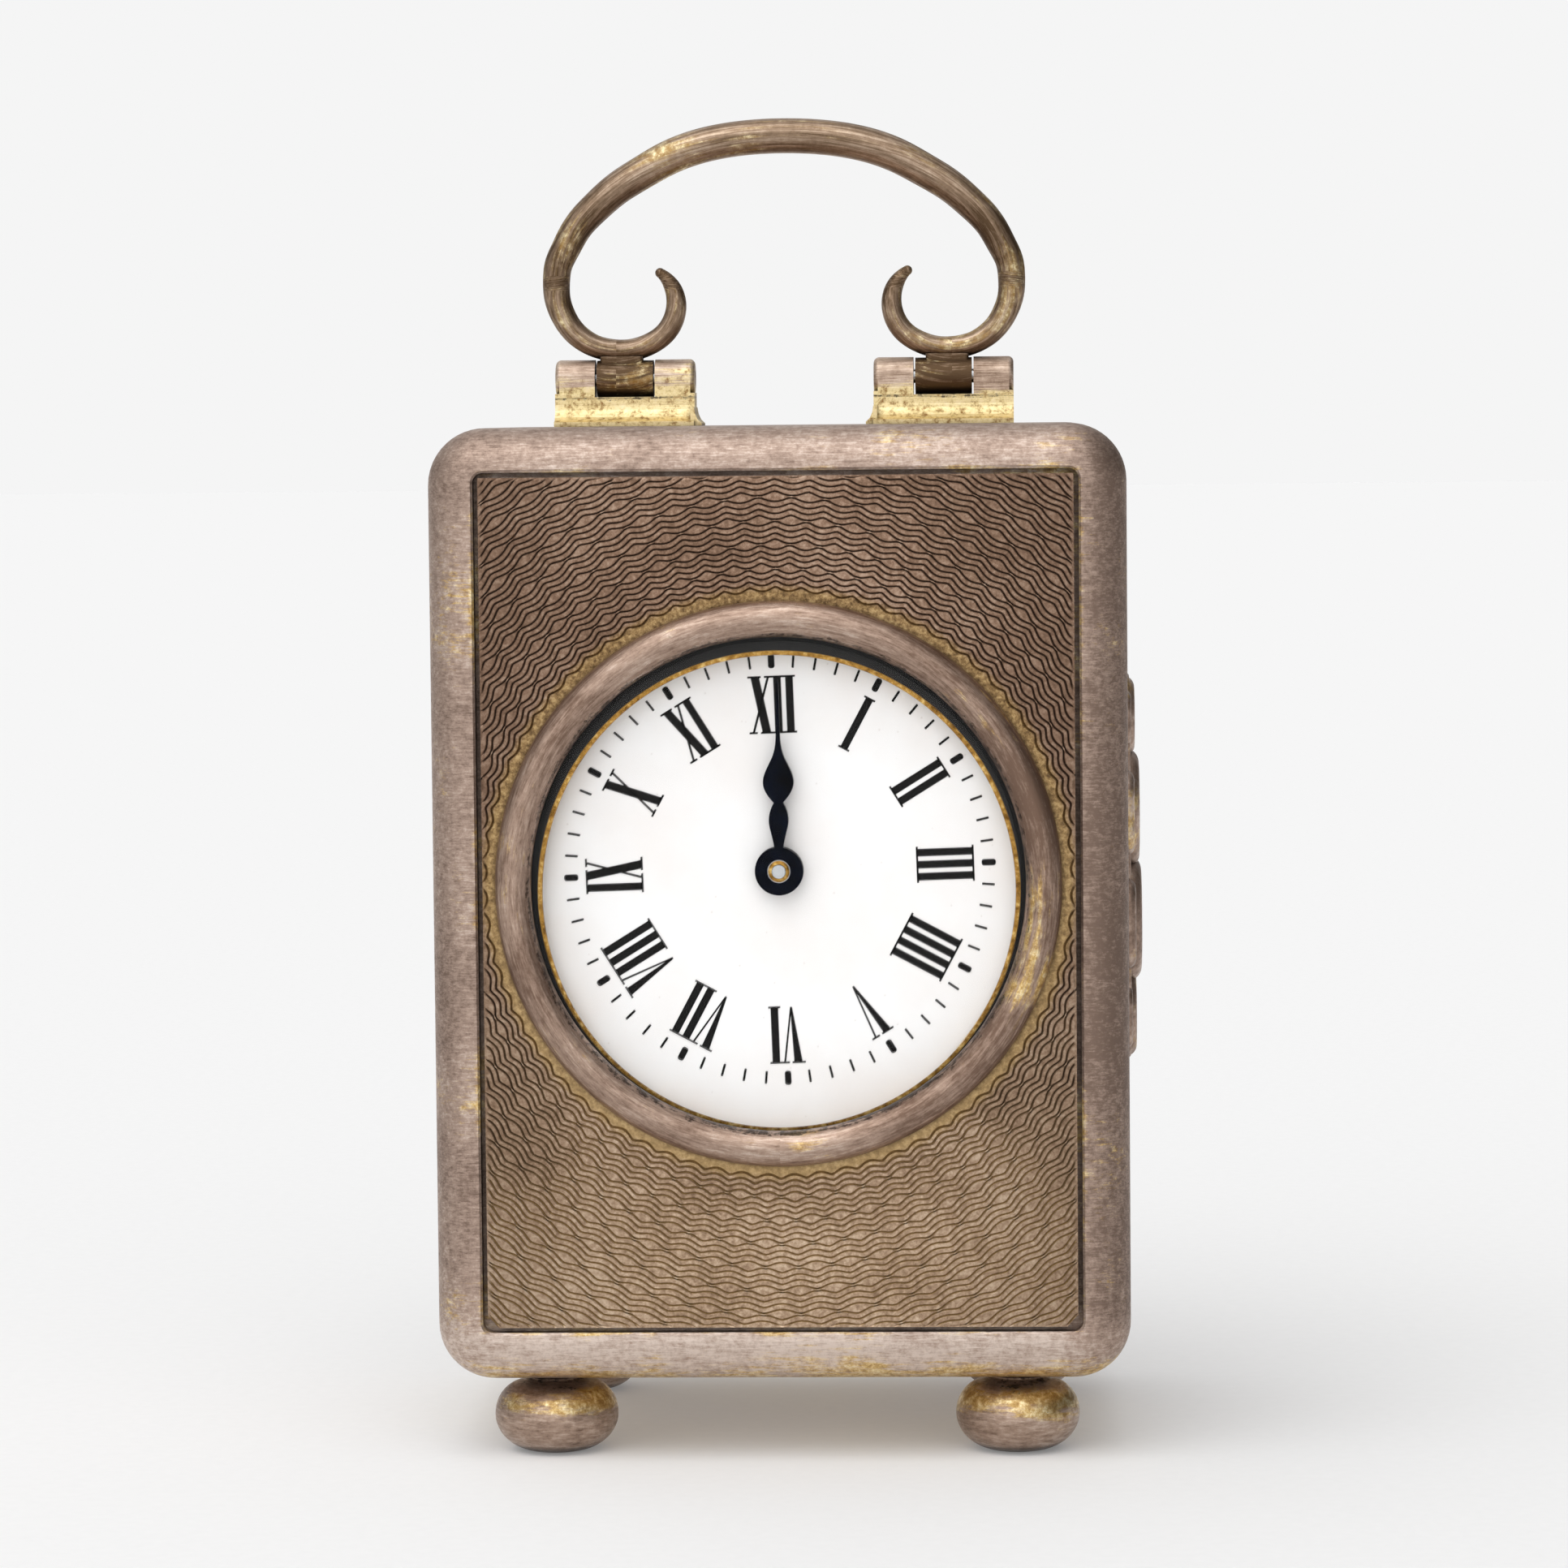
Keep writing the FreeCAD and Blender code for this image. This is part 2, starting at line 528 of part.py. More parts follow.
def hand(boss_r, bore_r, tip_r, y0, y1):
    """Leaf below, pear above and a tapering point, all cut from one steel sheet."""
    leaf = [(1.2, 0.30), (2.2, 0.40), (3.1, 0.61), (3.9, 0.76), (4.7, 0.66), (5.4, 0.36)]
    pear = [(5.4, 0.36), (5.75, 0.66), (6.3, 1.02), (6.95, 1.20), (7.6, 1.10), (8.3, 0.80),
            (9.1, 0.42), (9.9, 0.22), (10.9, 0.15)]
    if tip_r > 12:
        pear += [(13.0, 0.12), (tip_r, 0.06)]
    edges = []
    for side in (-1, 1):
        for run in (leaf, pear):
            curve = Part.BSplineCurve()
            curve.interpolate([V(cx + side * w, y0, cz + r) for r, w in run])
            edges.append(curve.toShape())
    for r, w in (leaf[0], pear[-1]):
        edges.append(Part.makeLine(V(cx - w, y0, cz + r), V(cx + w, y0, cz + r)))
    blade = Part.Face(Part.Wire(Part.__sortEdges__(edges))).extrude(V(0, y1 - y0, 0))
    boss = cyl_y(cx, cz, boss_r, y0, y1)
    return fuse([blade, boss]).cut(cyl_y(cx, cz, bore_r, y0 - 1, y1 + 1))


save(hand(1.92, 1.37, 10.9, -19.15, -18.85), "hour_hand")
save(hand(1.90, 0.92, 15.0, -19.85, -19.57), "minute_hand")
collet = turned_y(cx, cz, [(0.57, -20.14), (0.7, -20.12), (0.84, -20.02), (0.86, -19.88),
                           (0.57, -19.88)])
save(collet, "hand_collet")

# ---- plates and what holds them -----------------------------------------------------
BACK_OUT = BACK_PLATE + PLATE_T
FRONT_IN = FRONT_PLATE + PLATE_T
pillar_spots = [(-17.0, 20.0), (17.0, 20.0), (-17.0, 62.0), (17.0, 62.0)]
post_spots = [(-19.0, 17.0), (19.0, 17.0), (-19.2, 65.6), (19.2, 65.6)]
platform_screw_x = 8.2
CLICK = (6.4, 32.6)
CLICK_SPRING_SCREW = (9.0, 25.0)
pivots = [(INTER, 0.5), (THIRD, 0.4), (CONTRATE, 0.35)]

front_plate = slab_y(-PLATE_X, PLATE_X, PLATE_Z0, PLATE_Z1, 1.5, FRONT_PLATE, FRONT_IN)
holes = [cyl_y(p[0], p[1], r + 0.03, -16, -12) for p, r in pivots]
holes += [cyl_y(BARREL[0], BARREL[1], 1.03, -16, -12), cyl_y(cx, cz, 0.73, -16, -12)]
holes += [cyl_y(x, z, 0.72, -16, -12) for x, z in pillar_spots + post_spots]
holes += [cyl_y(x, z, 0.52, -16, -12) for x, z in dial_feet]
plate_screw_holes = [cyl_z(sx * platform_screw_x, -13.7, 0.41, 65, 69) for sx in (-1, 1)]
front_plate = cut(front_plate, holes + plate_screw_holes)
front_plate = front_plate.fuse(cyl_y(MINUTE[0], MINUTE[1], 0.4, -17.3, FRONT_IN - 0.2))
save(front_plate.removeSplitter(), "front_plate")

back_plate = slab_y(-PLATE_X, PLATE_X, PLATE_Z0, PLATE_Z1, 1.5, BACK_PLATE, BACK_OUT)
holes = [cyl_y(p[0], p[1], r + 0.03, 6, 9) for p, r in pivots]
holes += [cyl_y(BARREL[0], BARREL[1], 1.33, 6, 9), cyl_y(cx, cz, 0.73, 6, 9)]
holes += [cyl_y(x, z, 0.72, 6, 9) for x, z in pillar_spots]
holes += [cyl_y(x, z, 0.47, 6, 9) for x, z in (CLICK, CLICK_SPRING_SCREW)]
holes += [cyl_z(sx * platform_screw_x, 7.5, 0.41, 65, 69) for sx in (-1, 1)]
save(cut(back_plate, holes), "back_plate")

pillars = []
for x, z in pillar_spots:
    turned = turned_y(x, z, [(0, FRONT_IN + 0.01), (1.7, FRONT_IN + 0.01), (1.7, -11.6),
                             (1.2, -11.0), (1.05, -3.1), (1.2, 4.8), (1.7, 5.4),
                             (1.7, BACK_PLATE - 0.01), (0, BACK_PLATE - 0.01)])
    turned = cut(turned, [cyl_y(x, z, 0.72, FRONT_IN - 1, FRONT_IN + 3),
                          cyl_y(x, z, 0.72, BACK_PLATE - 3, BACK_PLATE + 1)])
    pillars.append(turned)
save(Part.makeCompound(pillars), "pillars")

posts = []
for x, z in post_spots:
    post = cyl_y(x, z, 1.45, PANEL_Y + PANEL_T + 0.01, FRONT_PLATE - 0.01)
    posts.append(post.cut(cyl_y(x, z, 0.72, -17.5, -14)))
save(Part.makeCompound(posts), "mounting_posts")

screws = [screw_y(x, z, 1.45, FRONT_PLATE - 0.85, FRONT_PLATE - 0.01, 0.7, FRONT_IN + 2.5)
          for x, z in pillar_spots]
screws += [screw_y(x, z, 1.45, BACK_OUT + 0.01, BACK_OUT + 0.85, 0.7, BACK_PLATE - 2.5)
           for x, z in pillar_spots]
screws += [screw_y(x, z, 1.3, FRONT_IN + 0.01, FRONT_IN + 0.8, 0.7, -17.2)
           for x, z in post_spots]
save(Part.makeCompound(screws), "plate_screws")

# ---- going barrel -------------------------------------------------------------------
bx, bz = BARREL
inter_phase = 0.0
great_phase = meshed_phase(INTER_PINION[0], INTER, inter_phase, GREAT[0], BARREL)
drum = wheel(BARREL, GREAT, INTER_PINION, great_phase, -12.2, -11.1)
drum = drum.fuse(cyl_y(bx, bz, 11.6, -11.1, 1.0))
drum = cut(drum, [cyl_y(bx, bz, 10.9, -10.9, -0.1), cyl_y(bx, bz, 11.15, -0.1, 1.1),
                  cyl_y(bx, bz, 1.08, -13, -10)])
save(drum, "barrel")
cover = cyl_y(bx, bz, 11.12, -0.08, 0.8).cut(cyl_y(bx, bz, 1.55, -1, 2))
save(cover.cut(box(bx - 1.2, bx + 1.2, -1, 2, bz + 9.9, bz + 12)), "barrel_cover")
arbor = stepped_arbor(bx, bz, [(FRONT_PLATE + 0.02, 1.0), (-10.8, 2.9), (-0.2, 1.5),
                               (BACK_PLATE - 0.05, 1.3), (13.2, 1.3)])
square = box(bx - 0.92, bx + 0.92, 8.0, 14, bz - 0.92, bz + 0.92)
tail = cyl_y(bx, bz, 3, 8.15, 14).cut(square)
hook = box(bx + 2.6, bx + 3.25, -6.3, -4.7, bz - 0.5, bz + 0.5)
save(fuse([arbor.cut(tail), hook]), "barrel_arbor")


def spiral_strip(place, radius_at, turns, thick, start_angle):
    """Two edges of a coiled strip; radius_at gives the radius after a number of turns."""
    inner_edge, outer_edge = [], []
    count = int(turns * 20)
    for k in range(count + 1):
        turn = turns * k / count
        r = radius_at(turn)
        angle = start_angle + 360.0 * turn
        inner_edge.append(at_angle(place[0], place[1], r - thick / 2, angle))
        outer_edge.append(at_angle(place[0], place[1], r + thick / 2, angle))
    return inner_edge, outer_edge


def strip_prism(edges, to_point, height):
    curves = []
    for side in edges:
        curve = Part.BSplineCurve()
        curve.interpolate([to_point(a, b) for a, b in side])
        curves.append(curve.toShape())
    ends = [Part.makeLine(to_point(*edges[0][k]), to_point(*edges[1][k])) for k in (0, -1)]
    wire = Part.Wire(Part.__sortEdges__(curves + ends))
    return Part.Face(wire).extrude(height)


coil = spiral_strip(BARREL, lambda turn: 3.55 + 7.05 * turn / 9, 9.0, 0.26, 95.0)
save(strip_prism(coil, lambda a, b: V(a, -10.6, b), V(0, 10.2, 0)), "mainspring")

# ratchet on the winding square, click and click spring on the back plate
RATCHET_R = 4.6
teeth = []
for k in range(24):
    teeth.append(at_angle(bx, bz, RATCHET_R, 15.0 * k))
    teeth.append(at_angle(bx, bz, RATCHET_R - 0.75, 15.0 * k + 1.5))
ratchet = polygon_prism(teeth, BACK_OUT + 0.12, BACK_OUT + 0.92)
save(ratchet.cut(box(bx - 0.93, bx + 0.93, 8, 10, bz - 0.93, bz + 0.93)), "ratchet_wheel")
click = fuse([
    cyl_y(CLICK[0], CLICK[1], 1.3, BACK_OUT + 0.14, BACK_OUT + 0.9),
    polygon_prism([(CLICK[0] - 0.9, CLICK[1] + 0.9), (CLICK[0] - 4.1, CLICK[1] + 0.35),
                   (CLICK[0] - 3.35, CLICK[1] - 0.25), (CLICK[0] - 1.0, CLICK[1] - 0.6)],
                  BACK_OUT + 0.14, BACK_OUT + 0.9),
    polygon_prism([(CLICK[0] + 0.4, CLICK[1] - 1.0), (CLICK[0] + 2.3, CLICK[1] - 0.3),
                   (CLICK[0] + 2.3, CLICK[1] + 0.4), (CLICK[0] + 0.4, CLICK[1] + 1.0)],
                  BACK_OUT + 0.14, BACK_OUT + 0.9)])
save(click.cut(cyl_y(CLICK[0], CLICK[1], 0.52, 8, 10)), "click")
sx0, sz0 = CLICK_SPRING_SCREW
spring = fuse([
    cyl_y(sx0, sz0, 1.0, BACK_OUT + 0.02, BACK_OUT + 0.7),
    polygon_prism([(sx0 - 0.3, sz0), (sx0 + 0.3, sz0), (sx0 + 1.3, sz0 + 3.8),
                   (sx0 + 0.4, CLICK[1] - 0.55), (sx0 - 0.6, CLICK[1] - 0.62),
                   (sx0 + 0.5, CLICK[1] - 1.0), (sx0 + 0.95, sz0 + 3.8)],
                  BACK_OUT + 0.2, BACK_OUT + 0.7)])
save(spring.cut(cyl_y(sx0, sz0, 0.47, 8, 10)), "click_spring")
save(Part.makeCompound([
    screw_y(CLICK[0], CLICK[1], 1.0, BACK_OUT + 0.95, BACK_OUT + 1.5, 0.45, BACK_PLATE + 0.2),
    screw_y(sx0, sz0, 0.9, BACK_OUT + 0.72, BACK_OUT + 1.2, 0.45, BACK_PLATE + 0.2)]),
    "click_screws")

# ---- train between the plates -------------------------------------------------------
def arbor_with_hub(place, pivot_r, body_r, hub_y0, hub_y1, hub_r):
    x, z = place
    return stepped_arbor(x, z, [(FRONT_PLATE + 0.05, pivot_r), (FRONT_IN + 0.15, body_r),
                                (hub_y0, hub_r), (hub_y1, body_r),
                                (BACK_PLATE - 0.15, pivot_r), (BACK_OUT - 0.05, pivot_r)])


def going_wheel(place, gear, mate, phase, y0, y1, rim, bore):
    """Brass wheel with four crossings, riveted on its hub."""
    pitch_r = gear[0] * gear[1] / 2
    blank = wheel(place, gear, mate, phase, y0, y1)
    windows = crossings(place, 2.0, pitch_r - rim, 4, 0.8, y0 - 0.1, y1 + 0.1)
    return cut(blank, [windows, cyl_y(place[0], place[1], bore, y0 - 1, y1 + 1)])


inter_arbor = arbor_with_hub(INTER, 0.5, 0.65, 1.0, 3.4, 1.1)
inter_leaves = pinion(INTER, INTER_PINION, inter_phase, -12.5, -10.4)
save(fuse([inter_arbor, inter_leaves]), "intermediate_arbor")
centre_phase = 0.0
phase = meshed_phase(CENTRE_PINION[0], CENTRE, centre_phase, INTER_WHEEL[0], INTER)
save(going_wheel(INTER, INTER_WHEEL, CENTRE_PINION, phase, 2.4, 3.1, 1.15, 1.12),
     "intermediate_wheel")

centre_arbor = stepped_arbor(cx, cz, [(-20.45, 0.3), (-20.36, 0.48), (-20.2, 0.53),
                                      (FRONT_PLATE - 0.25, 0.7), (FRONT_IN + 0.15, 0.9),
                                      (-8.4, 1.3), (-6.9, 0.9), (BACK_PLATE - 0.15, 0.7),
                                      (12.2, 0.7)])
square = box(cx - 0.5, cx + 0.5, 8.0, 14, cz - 0.5, cz + 0.5)
tail = cyl_y(cx, cz, 2, 8.6, 14).cut(square)
leaves = pinion(CENTRE, CENTRE_PINION, centre_phase, 1.9, 3.6)
save(fuse([centre_arbor.cut(tail), leaves]), "centre_arbor")
save(going_wheel(CENTRE, CENTRE_WHEEL, THIRD_PINION, 0.0, -8.0, -7.4, 1.0, 1.32),
     "centre_wheel")

third_phase = meshed_phase(CENTRE_WHEEL[0], CENTRE, 0.0, THIRD_PINION[0], THIRD)
third_arbor = arbor_with_hub(THIRD, 0.4, 0.5, -3.8, -2.4, 0.9)
save(fuse([third_arbor, pinion(THIRD, THIRD_PINION, third_phase, -8.6, -6.8)]), "third_arbor")
save(going_wheel(THIRD, THIRD_WHEEL, CONTRATE_PINION, 0.0, -3.4, -2.9, 0.9, 0.92), "third_wheel")

contrate_phase = meshed_phase(THIRD_WHEEL[0], THIRD, 0.0, CONTRATE_PINION[0], CONTRATE)
contrate_arbor = arbor_with_hub(CONTRATE, 0.35, 0.5, -1.0, 0.6, 0.9)
leaves = pinion(CONTRATE, CONTRATE_PINION, contrate_phase, -4.2, -2.2)
save(fuse([contrate_arbor, leaves]), "contrate_arbor")

# contrate wheel: a crown of teeth turned up from the rim towards the back plate
ox, oz = CONTRATE
CROWN_R = 7.15
crown = cyl_y(ox, oz, CROWN_R, -0.6, 1.28)
crown = crown.cut(cyl_y(ox, oz, CROWN_R - 0.6, -0.05, 2))
windows = crossings(CONTRATE, 1.8, CROWN_R - 0.9, 4, 0.8, -0.7, 0.1)
crown = cut(crown, [windows, cyl_y(ox, oz, 0.92, -2, 1)])
slots = []
for k in range(CONTRATE_TEETH):
    shape = [(-0.17, 0.62), (-0.185, 1.02), (-0.30, 1.4), (0.30, 1.4), (0.185, 1.02), (0.17, 0.62)]
    points = [V(px, py, CROWN_R - 1.0) for px, py in shape]
    slot = Part.Face(Part.makePolygon(points + points[:1])).extrude(V(0, 0, 1.5))
    slot.rotate(V(0, 0, 0), Y_AXIS, 360.0 * k / CONTRATE_TEETH)
    slot.translate(V(ox, 0, oz))
    slots.append(slot)
save(crown.cut(Part.makeCompound(slots)), "contrate_wheel")

# ---- motion work under the dial -----------------------------------------------------
cannon = fuse([turned_y(cx, cz, [(0.56, -19.86), (0.9, -19.86), (0.9, -14.65), (0.56, -14.65)]),
               pinion(CENTRE, CANNON, 0.0, -16.1, -14.75).cut(cyl_y(cx, cz, 0.7, -17, -14))])
save(cannon, "cannon_pinion")
minute_phase = meshed_phase(CANNON[0], CENTRE, 0.0, MINUTE_WHEEL[0], MINUTE)
minute = fuse([wheel(MINUTE, MINUTE_WHEEL, CANNON, minute_phase, -15.9, -15.35),
               pinion(MINUTE, MINUTE_PINION, 0.0, -17.2, -15.8)])
save(minute.cut(cyl_y(MINUTE[0], MINUTE[1], 0.43, -18, -15)), "minute_wheel")
hour_phase = meshed_phase(MINUTE_PINION[0], MINUTE, 0.0, HOUR_WHEEL[0], CENTRE)
hour = fuse([wheel(CENTRE, HOUR_WHEEL, MINUTE_PINION, hour_phase, -17.1, -16.55),
             cyl_y(cx, cz, 1.35, -19.3, -16.55)])
save(hour.cut(cyl_y(cx, cz, 0.94, -20, -16)), "hour_wheel")

# ---- platform escapement ------------------------------------------------------------
ex, ey = ESCAPE
lx, ly = LEVER
wx, wy = BALANCE
deck = PLATFORM_Z + PLATFORM_T
platform = slab_z(-10.0, 10.0, -14.3, 8.1, 1.2, PLATFORM_Z, deck)
platform = fuse([platform, box(-1.0, 1.0, 2.9, 4.0, 64.3, PLATFORM_Z + 0.2),
                 box(-1.0, 1.0, 0.95, 4.0, 64.3, 65.0)])
screw_spots = [(sx * platform_screw_x, y) for sx in (-1, 1) for y in (-13.7, 7.5)]
TRAIN_COCK_FOOT = (-6.6, 0.6)
BALANCE_COCK_FOOT = (6.7, -6.6)
holes = [cyl_z(ex, ey, 1.25, 66, 70), cyl_z(ex, ey, 0.18, 64, 66), cyl_z(lx, ly, 0.18, 66, 70),
         cyl_z(wx, wy, 0.18, 66, 70)]
holes += [cyl_z(x, y, 0.42, 66, 70) for x, y in screw_spots]
holes += [cyl_z(x, y, 0.42, 66, 70) for x, y in (TRAIN_COCK_FOOT, BALANCE_COCK_FOOT)]
save(cut(platform, holes), "platform")

WHEEL_Z = (70.4, 70.75)
ESCAPE_R = 3.38
teeth = []
for k in range(15):
    a = 24.0 * k
    for r, lead in ((2.35, -7.5), (3.25, 1.2), (ESCAPE_R, 0.6), (ESCAPE_R - 0.05, -3.6), (2.6, -9.6),
                    (2.35, -14.0)):
        b = math.radians(a - lead)
        teeth.append(V(ex + r * math.cos(b), ey + r * math.sin(b), WHEEL_Z[0]))
escape = Part.Face(Part.makePolygon(teeth + teeth[:1])).extrude(V(0, 0, WHEEL_Z[1] - WHEEL_Z[0]))
ring = cyl_z(ex, ey, 1.95, 70, 71).cut(cyl_z(ex, ey, 0.95, 70, 71))
arms = fuse([box(ex - 2.4, ex + 2.4, ey - 0.22, ey + 0.22, 69.9, 71.1),
             box(ex - 0.22, ex + 0.22, ey - 2.4, ey + 2.4, 69.9, 71.1)])
escape = escape.cut(ring.cut(arms))
staff = turned_z(ex, ey, [(0, 64.35), (0.15, 64.35), (0.15, 65.15), (0.32, 65.25), (0.32, 71.3),
                          (0.15, 71.4), (0.15, 72.15), (0, 72.15)])
leaf_points = []
for x, z in pinion_outline(ESCAPE_PINION[0], ESCAPE_PINION[1], 180.0):
    leaf_points.append(V(ex + x, ey + z, 65.5))
leaves = Part.Face(Part.makePolygon(leaf_points + leaf_points[:1])).extrude(V(0, 0, 1.9))
save(fuse([escape, staff, leaves]), "escape_wheel")

# anchor-shaped lever: two arms with ruby stones, the fork and its guard pin
arm_z = WHEEL_Z
lever_parts = [cyl_z(lx, ly, 0.36, arm_z[0], arm_z[1])]
for side in (-1, 1):
    outline = [(0, -0.34), (side * 1.5, 0.0), (side * 2.35, 0.62), (side * 2.15, 0.85),
               (side * 1.95, 0.62), (side * 1.2, 0.2), (0, 0.12)]
    points = [V(lx + px, ly + py, arm_z[0]) for px, py in outline]
    lever_parts.append(Part.Face(Part.makePolygon(points + points[:1])).extrude(V(0, 0, 0.35)))
fork = [(-0.16, -0.2), (-0.16, -2.5), (-0.55, -2.9), (-0.55, -3.6), (-0.2, -3.66), (-0.18, -3.05),
        (0.18, -3.05), (0.2, -3.66), (0.55, -3.6), (0.55, -2.9), (0.16, -2.5), (0.16, -0.2)]
points = [V(lx + px, ly + py, arm_z[0]) for px, py in fork]
lever_parts.append(Part.Face(Part.makePolygon(points + points[:1])).extrude(V(0, 0, 0.35)))
lever_parts.append(turned_z(lx, ly, [(0, 68.2), (0.15, 68.2), (0.15, 69.35), (0.26, 69.45),
                                     (0.26, 71.3), (0.15, 71.4), (0.15, 72.15), (0, 72.15)]))
save(fuse(lever_parts), "lever")

balance = turned_z(wx, wy, [(3.25, 72.7), (3.9, 72.7), (3.9, 73.35), (3.25, 73.35)])
bar = box(wx - 3.5, wx + 3.5, wy - 0.3, wy + 0.3, 72.75, 73.05)
hub = turned_z(wx, wy, [(0, 68.2), (0.15, 68.2), (0.15, 69.35), (0.26, 69.45), (0.26, 71.2),
                        (1.35, 71.2), (1.35, 71.55), (0.5, 71.6), (0.5, 73.4), (0.42, 73.5),
                        (0.42, 74.35), (0.15, 74.5), (0.15, 75.7), (0, 75.7)])
pin = cyl_z(wx, wy + 1.1, 0.12, 70.3, 71.4)
rim_screws = []
for k in range(12):
    a = math.radians(15 + 30 * k)
    start = V(wx + 3.8 * math.cos(a), wy + 3.8 * math.sin(a), 73.02)
    rim_screws.append(Part.makeCylinder(0.22, 0.42, start, V(math.cos(a), math.sin(a), 0)))
save(fuse([balance, bar, hub, pin] + rim_screws), "balance_wheel")



def hairspring_radius(turn):
    """Eight even coils, a widening half coil, then an arc true to the curb pins."""
    if turn < 8:
        return 0.62 + 1.5 * turn / 8
    return 2.12 + 0.58 * min(1.0, (turn - 8) / 0.6)


coil = spiral_strip(BALANCE, hairspring_radius, 9.0, 0.055, 0.0)
save(strip_prism(coil, lambda a, b: V(a, b, 74.0), V(0, 0, 0.3)), "hairspring")


def cock(foot, size, foot_z1, arm_points, arm_z0, arm_z1, hole_spots, bore):
    """Stepped bridge: a block on the platform and a flat arm over the pivots."""
    x, y = foot
    block = slab_z(x - size[0], x + size[0], y - size[1], y + size[1], 0.4, deck + 0.02, foot_z1)
    points = [V(px, py, arm_z0) for px, py in arm_points]
    arm = Part.Face(Part.makePolygon(points + points[:1])).extrude(V(0, 0, arm_z1 - arm_z0))
    bored = [cyl_z(px, py, bore, arm_z0 - 0.1, arm_z1 + 0.1) for px, py in hole_spots]
    return cut(fuse([block, arm]), bored + [cyl_z(x, y, 0.42, deck - 1, arm_z1 + 1)])


train_arm = [(-8.0, -1.9), (-5.2, -1.9), (-1.0, -3.1), (0.8, -3.1), (1.1, -2.2), (1.1, 2.0),
             (0.4, 2.7), (-1.0, 2.7), (-5.2, 3.1), (-8.0, 3.1)]
save(cock(TRAIN_COCK_FOOT, (1.4, 2.5), 71.7, train_arm, 71.7, 72.3, [ESCAPE, LEVER], 0.18),
     "train_cock")
top_arm = [(8.1, -9.2), (5.4, -9.2), (1.2, -8.1), (-1.0, -7.9), (-1.4, -6.6), (-1.0, -5.3),
           (1.2, -5.1), (5.4, -4.0), (8.1, -4.0)]
save(cock(BALANCE_COCK_FOOT, (1.4, 2.6), 75.0, top_arm, 75.0, 75.8, [BALANCE], 0.18),
     "balance_cock")

# regulator: ring over the cock, pointer towards the front, two curb pins about the outer coil
index = turned_z(wx, wy, [(0.6, 75.85), (1.1, 75.85), (1.1, 76.15), (0.6, 76.15)])
pointer = box(wx - 0.25, wx + 0.25, wy - 5.6, wy - 0.9, 75.85, 76.15)
tail = box(wx - 3.2, wx - 0.9, wy - 0.3, wy + 0.3, 75.85, 76.15)
curbs = [cyl_z(wx - r, wy, 0.07, 73.9, 76.0) for r in (2.55, 2.85)]
save(fuse([index, pointer, tail] + curbs), "regulator_index")

screws = [screw_z(x, y, 0.85, deck + 0.02, deck + 0.6, 0.39, PLATFORM_Z - 2.0)
          for x, y in screw_spots]
screws += [screw_z(TRAIN_COCK_FOOT[0], TRAIN_COCK_FOOT[1], 0.85, 72.32, 72.9, 0.39, PLATFORM_Z + 0.1)]
screws += [screw_z(BALANCE_COCK_FOOT[0], BALANCE_COCK_FOOT[1], 0.85, 75.82, 76.4, 0.39,
                   PLATFORM_Z + 0.1)]
save(Part.makeCompound(screws), "platform_screws")
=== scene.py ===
import math

import bmesh
import bpy
from mathutils import Matrix, Vector


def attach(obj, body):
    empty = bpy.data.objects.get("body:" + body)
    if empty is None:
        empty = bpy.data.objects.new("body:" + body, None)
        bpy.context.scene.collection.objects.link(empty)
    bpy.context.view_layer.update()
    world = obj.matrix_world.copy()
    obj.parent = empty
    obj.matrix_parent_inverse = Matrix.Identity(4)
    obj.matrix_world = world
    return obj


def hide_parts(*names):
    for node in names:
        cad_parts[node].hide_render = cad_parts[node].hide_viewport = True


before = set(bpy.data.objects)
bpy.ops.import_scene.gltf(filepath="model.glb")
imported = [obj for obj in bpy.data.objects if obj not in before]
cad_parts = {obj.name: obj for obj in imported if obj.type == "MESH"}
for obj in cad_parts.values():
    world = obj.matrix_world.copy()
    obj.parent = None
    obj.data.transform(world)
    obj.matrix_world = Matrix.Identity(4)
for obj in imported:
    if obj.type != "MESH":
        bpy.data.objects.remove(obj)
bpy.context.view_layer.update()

MM = 0.001

# --- The wrapped body: band, front moulding and back moulding -------------------------------
# Silver sheet and cast mouldings soldered into a box, once fire-gilt, now worn to a
# pinkish grey tarnish with fine hand-polishing streaks; painted shade darkens its flanks and painted
# light lifts its bottom edge.


def linear(hex_colour):
    """sRGB hex to the linear RGBA that a socket takes."""
    channels = [int(hex_colour[i:i + 2], 16) / 255 for i in (1, 3, 5)]
    return [c / 12.92 if c <= 0.04045 else ((c + 0.055) / 1.055) ** 2.4 for c in channels] + [1.0]


def add(tree, kind, inputs=None, **settings):
    """Adds one node, sets its properties, and sets or links its inputs by name or number."""
    item = tree.nodes.new(kind)
    for name, value in settings.items():
        setattr(item, name, value)
    for name, value in (inputs or {}).items():
        if isinstance(value, bpy.types.NodeSocket):
            tree.links.new(value, item.inputs[name])
        else:
            item.inputs[name].default_value = value
    return item


def new_material(name):
    """An empty node material and its tree."""
    material = bpy.data.materials.new(name)
    material.use_nodes = True
    material.node_tree.nodes.clear()
    return material, material.node_tree


def ramp(tree, value, stops):
    """Colour ramp over a value; stops are (position, hex)."""
    item = add(tree, "ShaderNodeValToRGB", {"Fac": value})
    while len(item.color_ramp.elements) < len(stops):
        item.color_ramp.elements.new(0.5)
    for element, (position, colour) in zip(item.color_ramp.elements, stops):
        element.position = position
        element.color = linear(colour)
    return item.outputs["Color"]


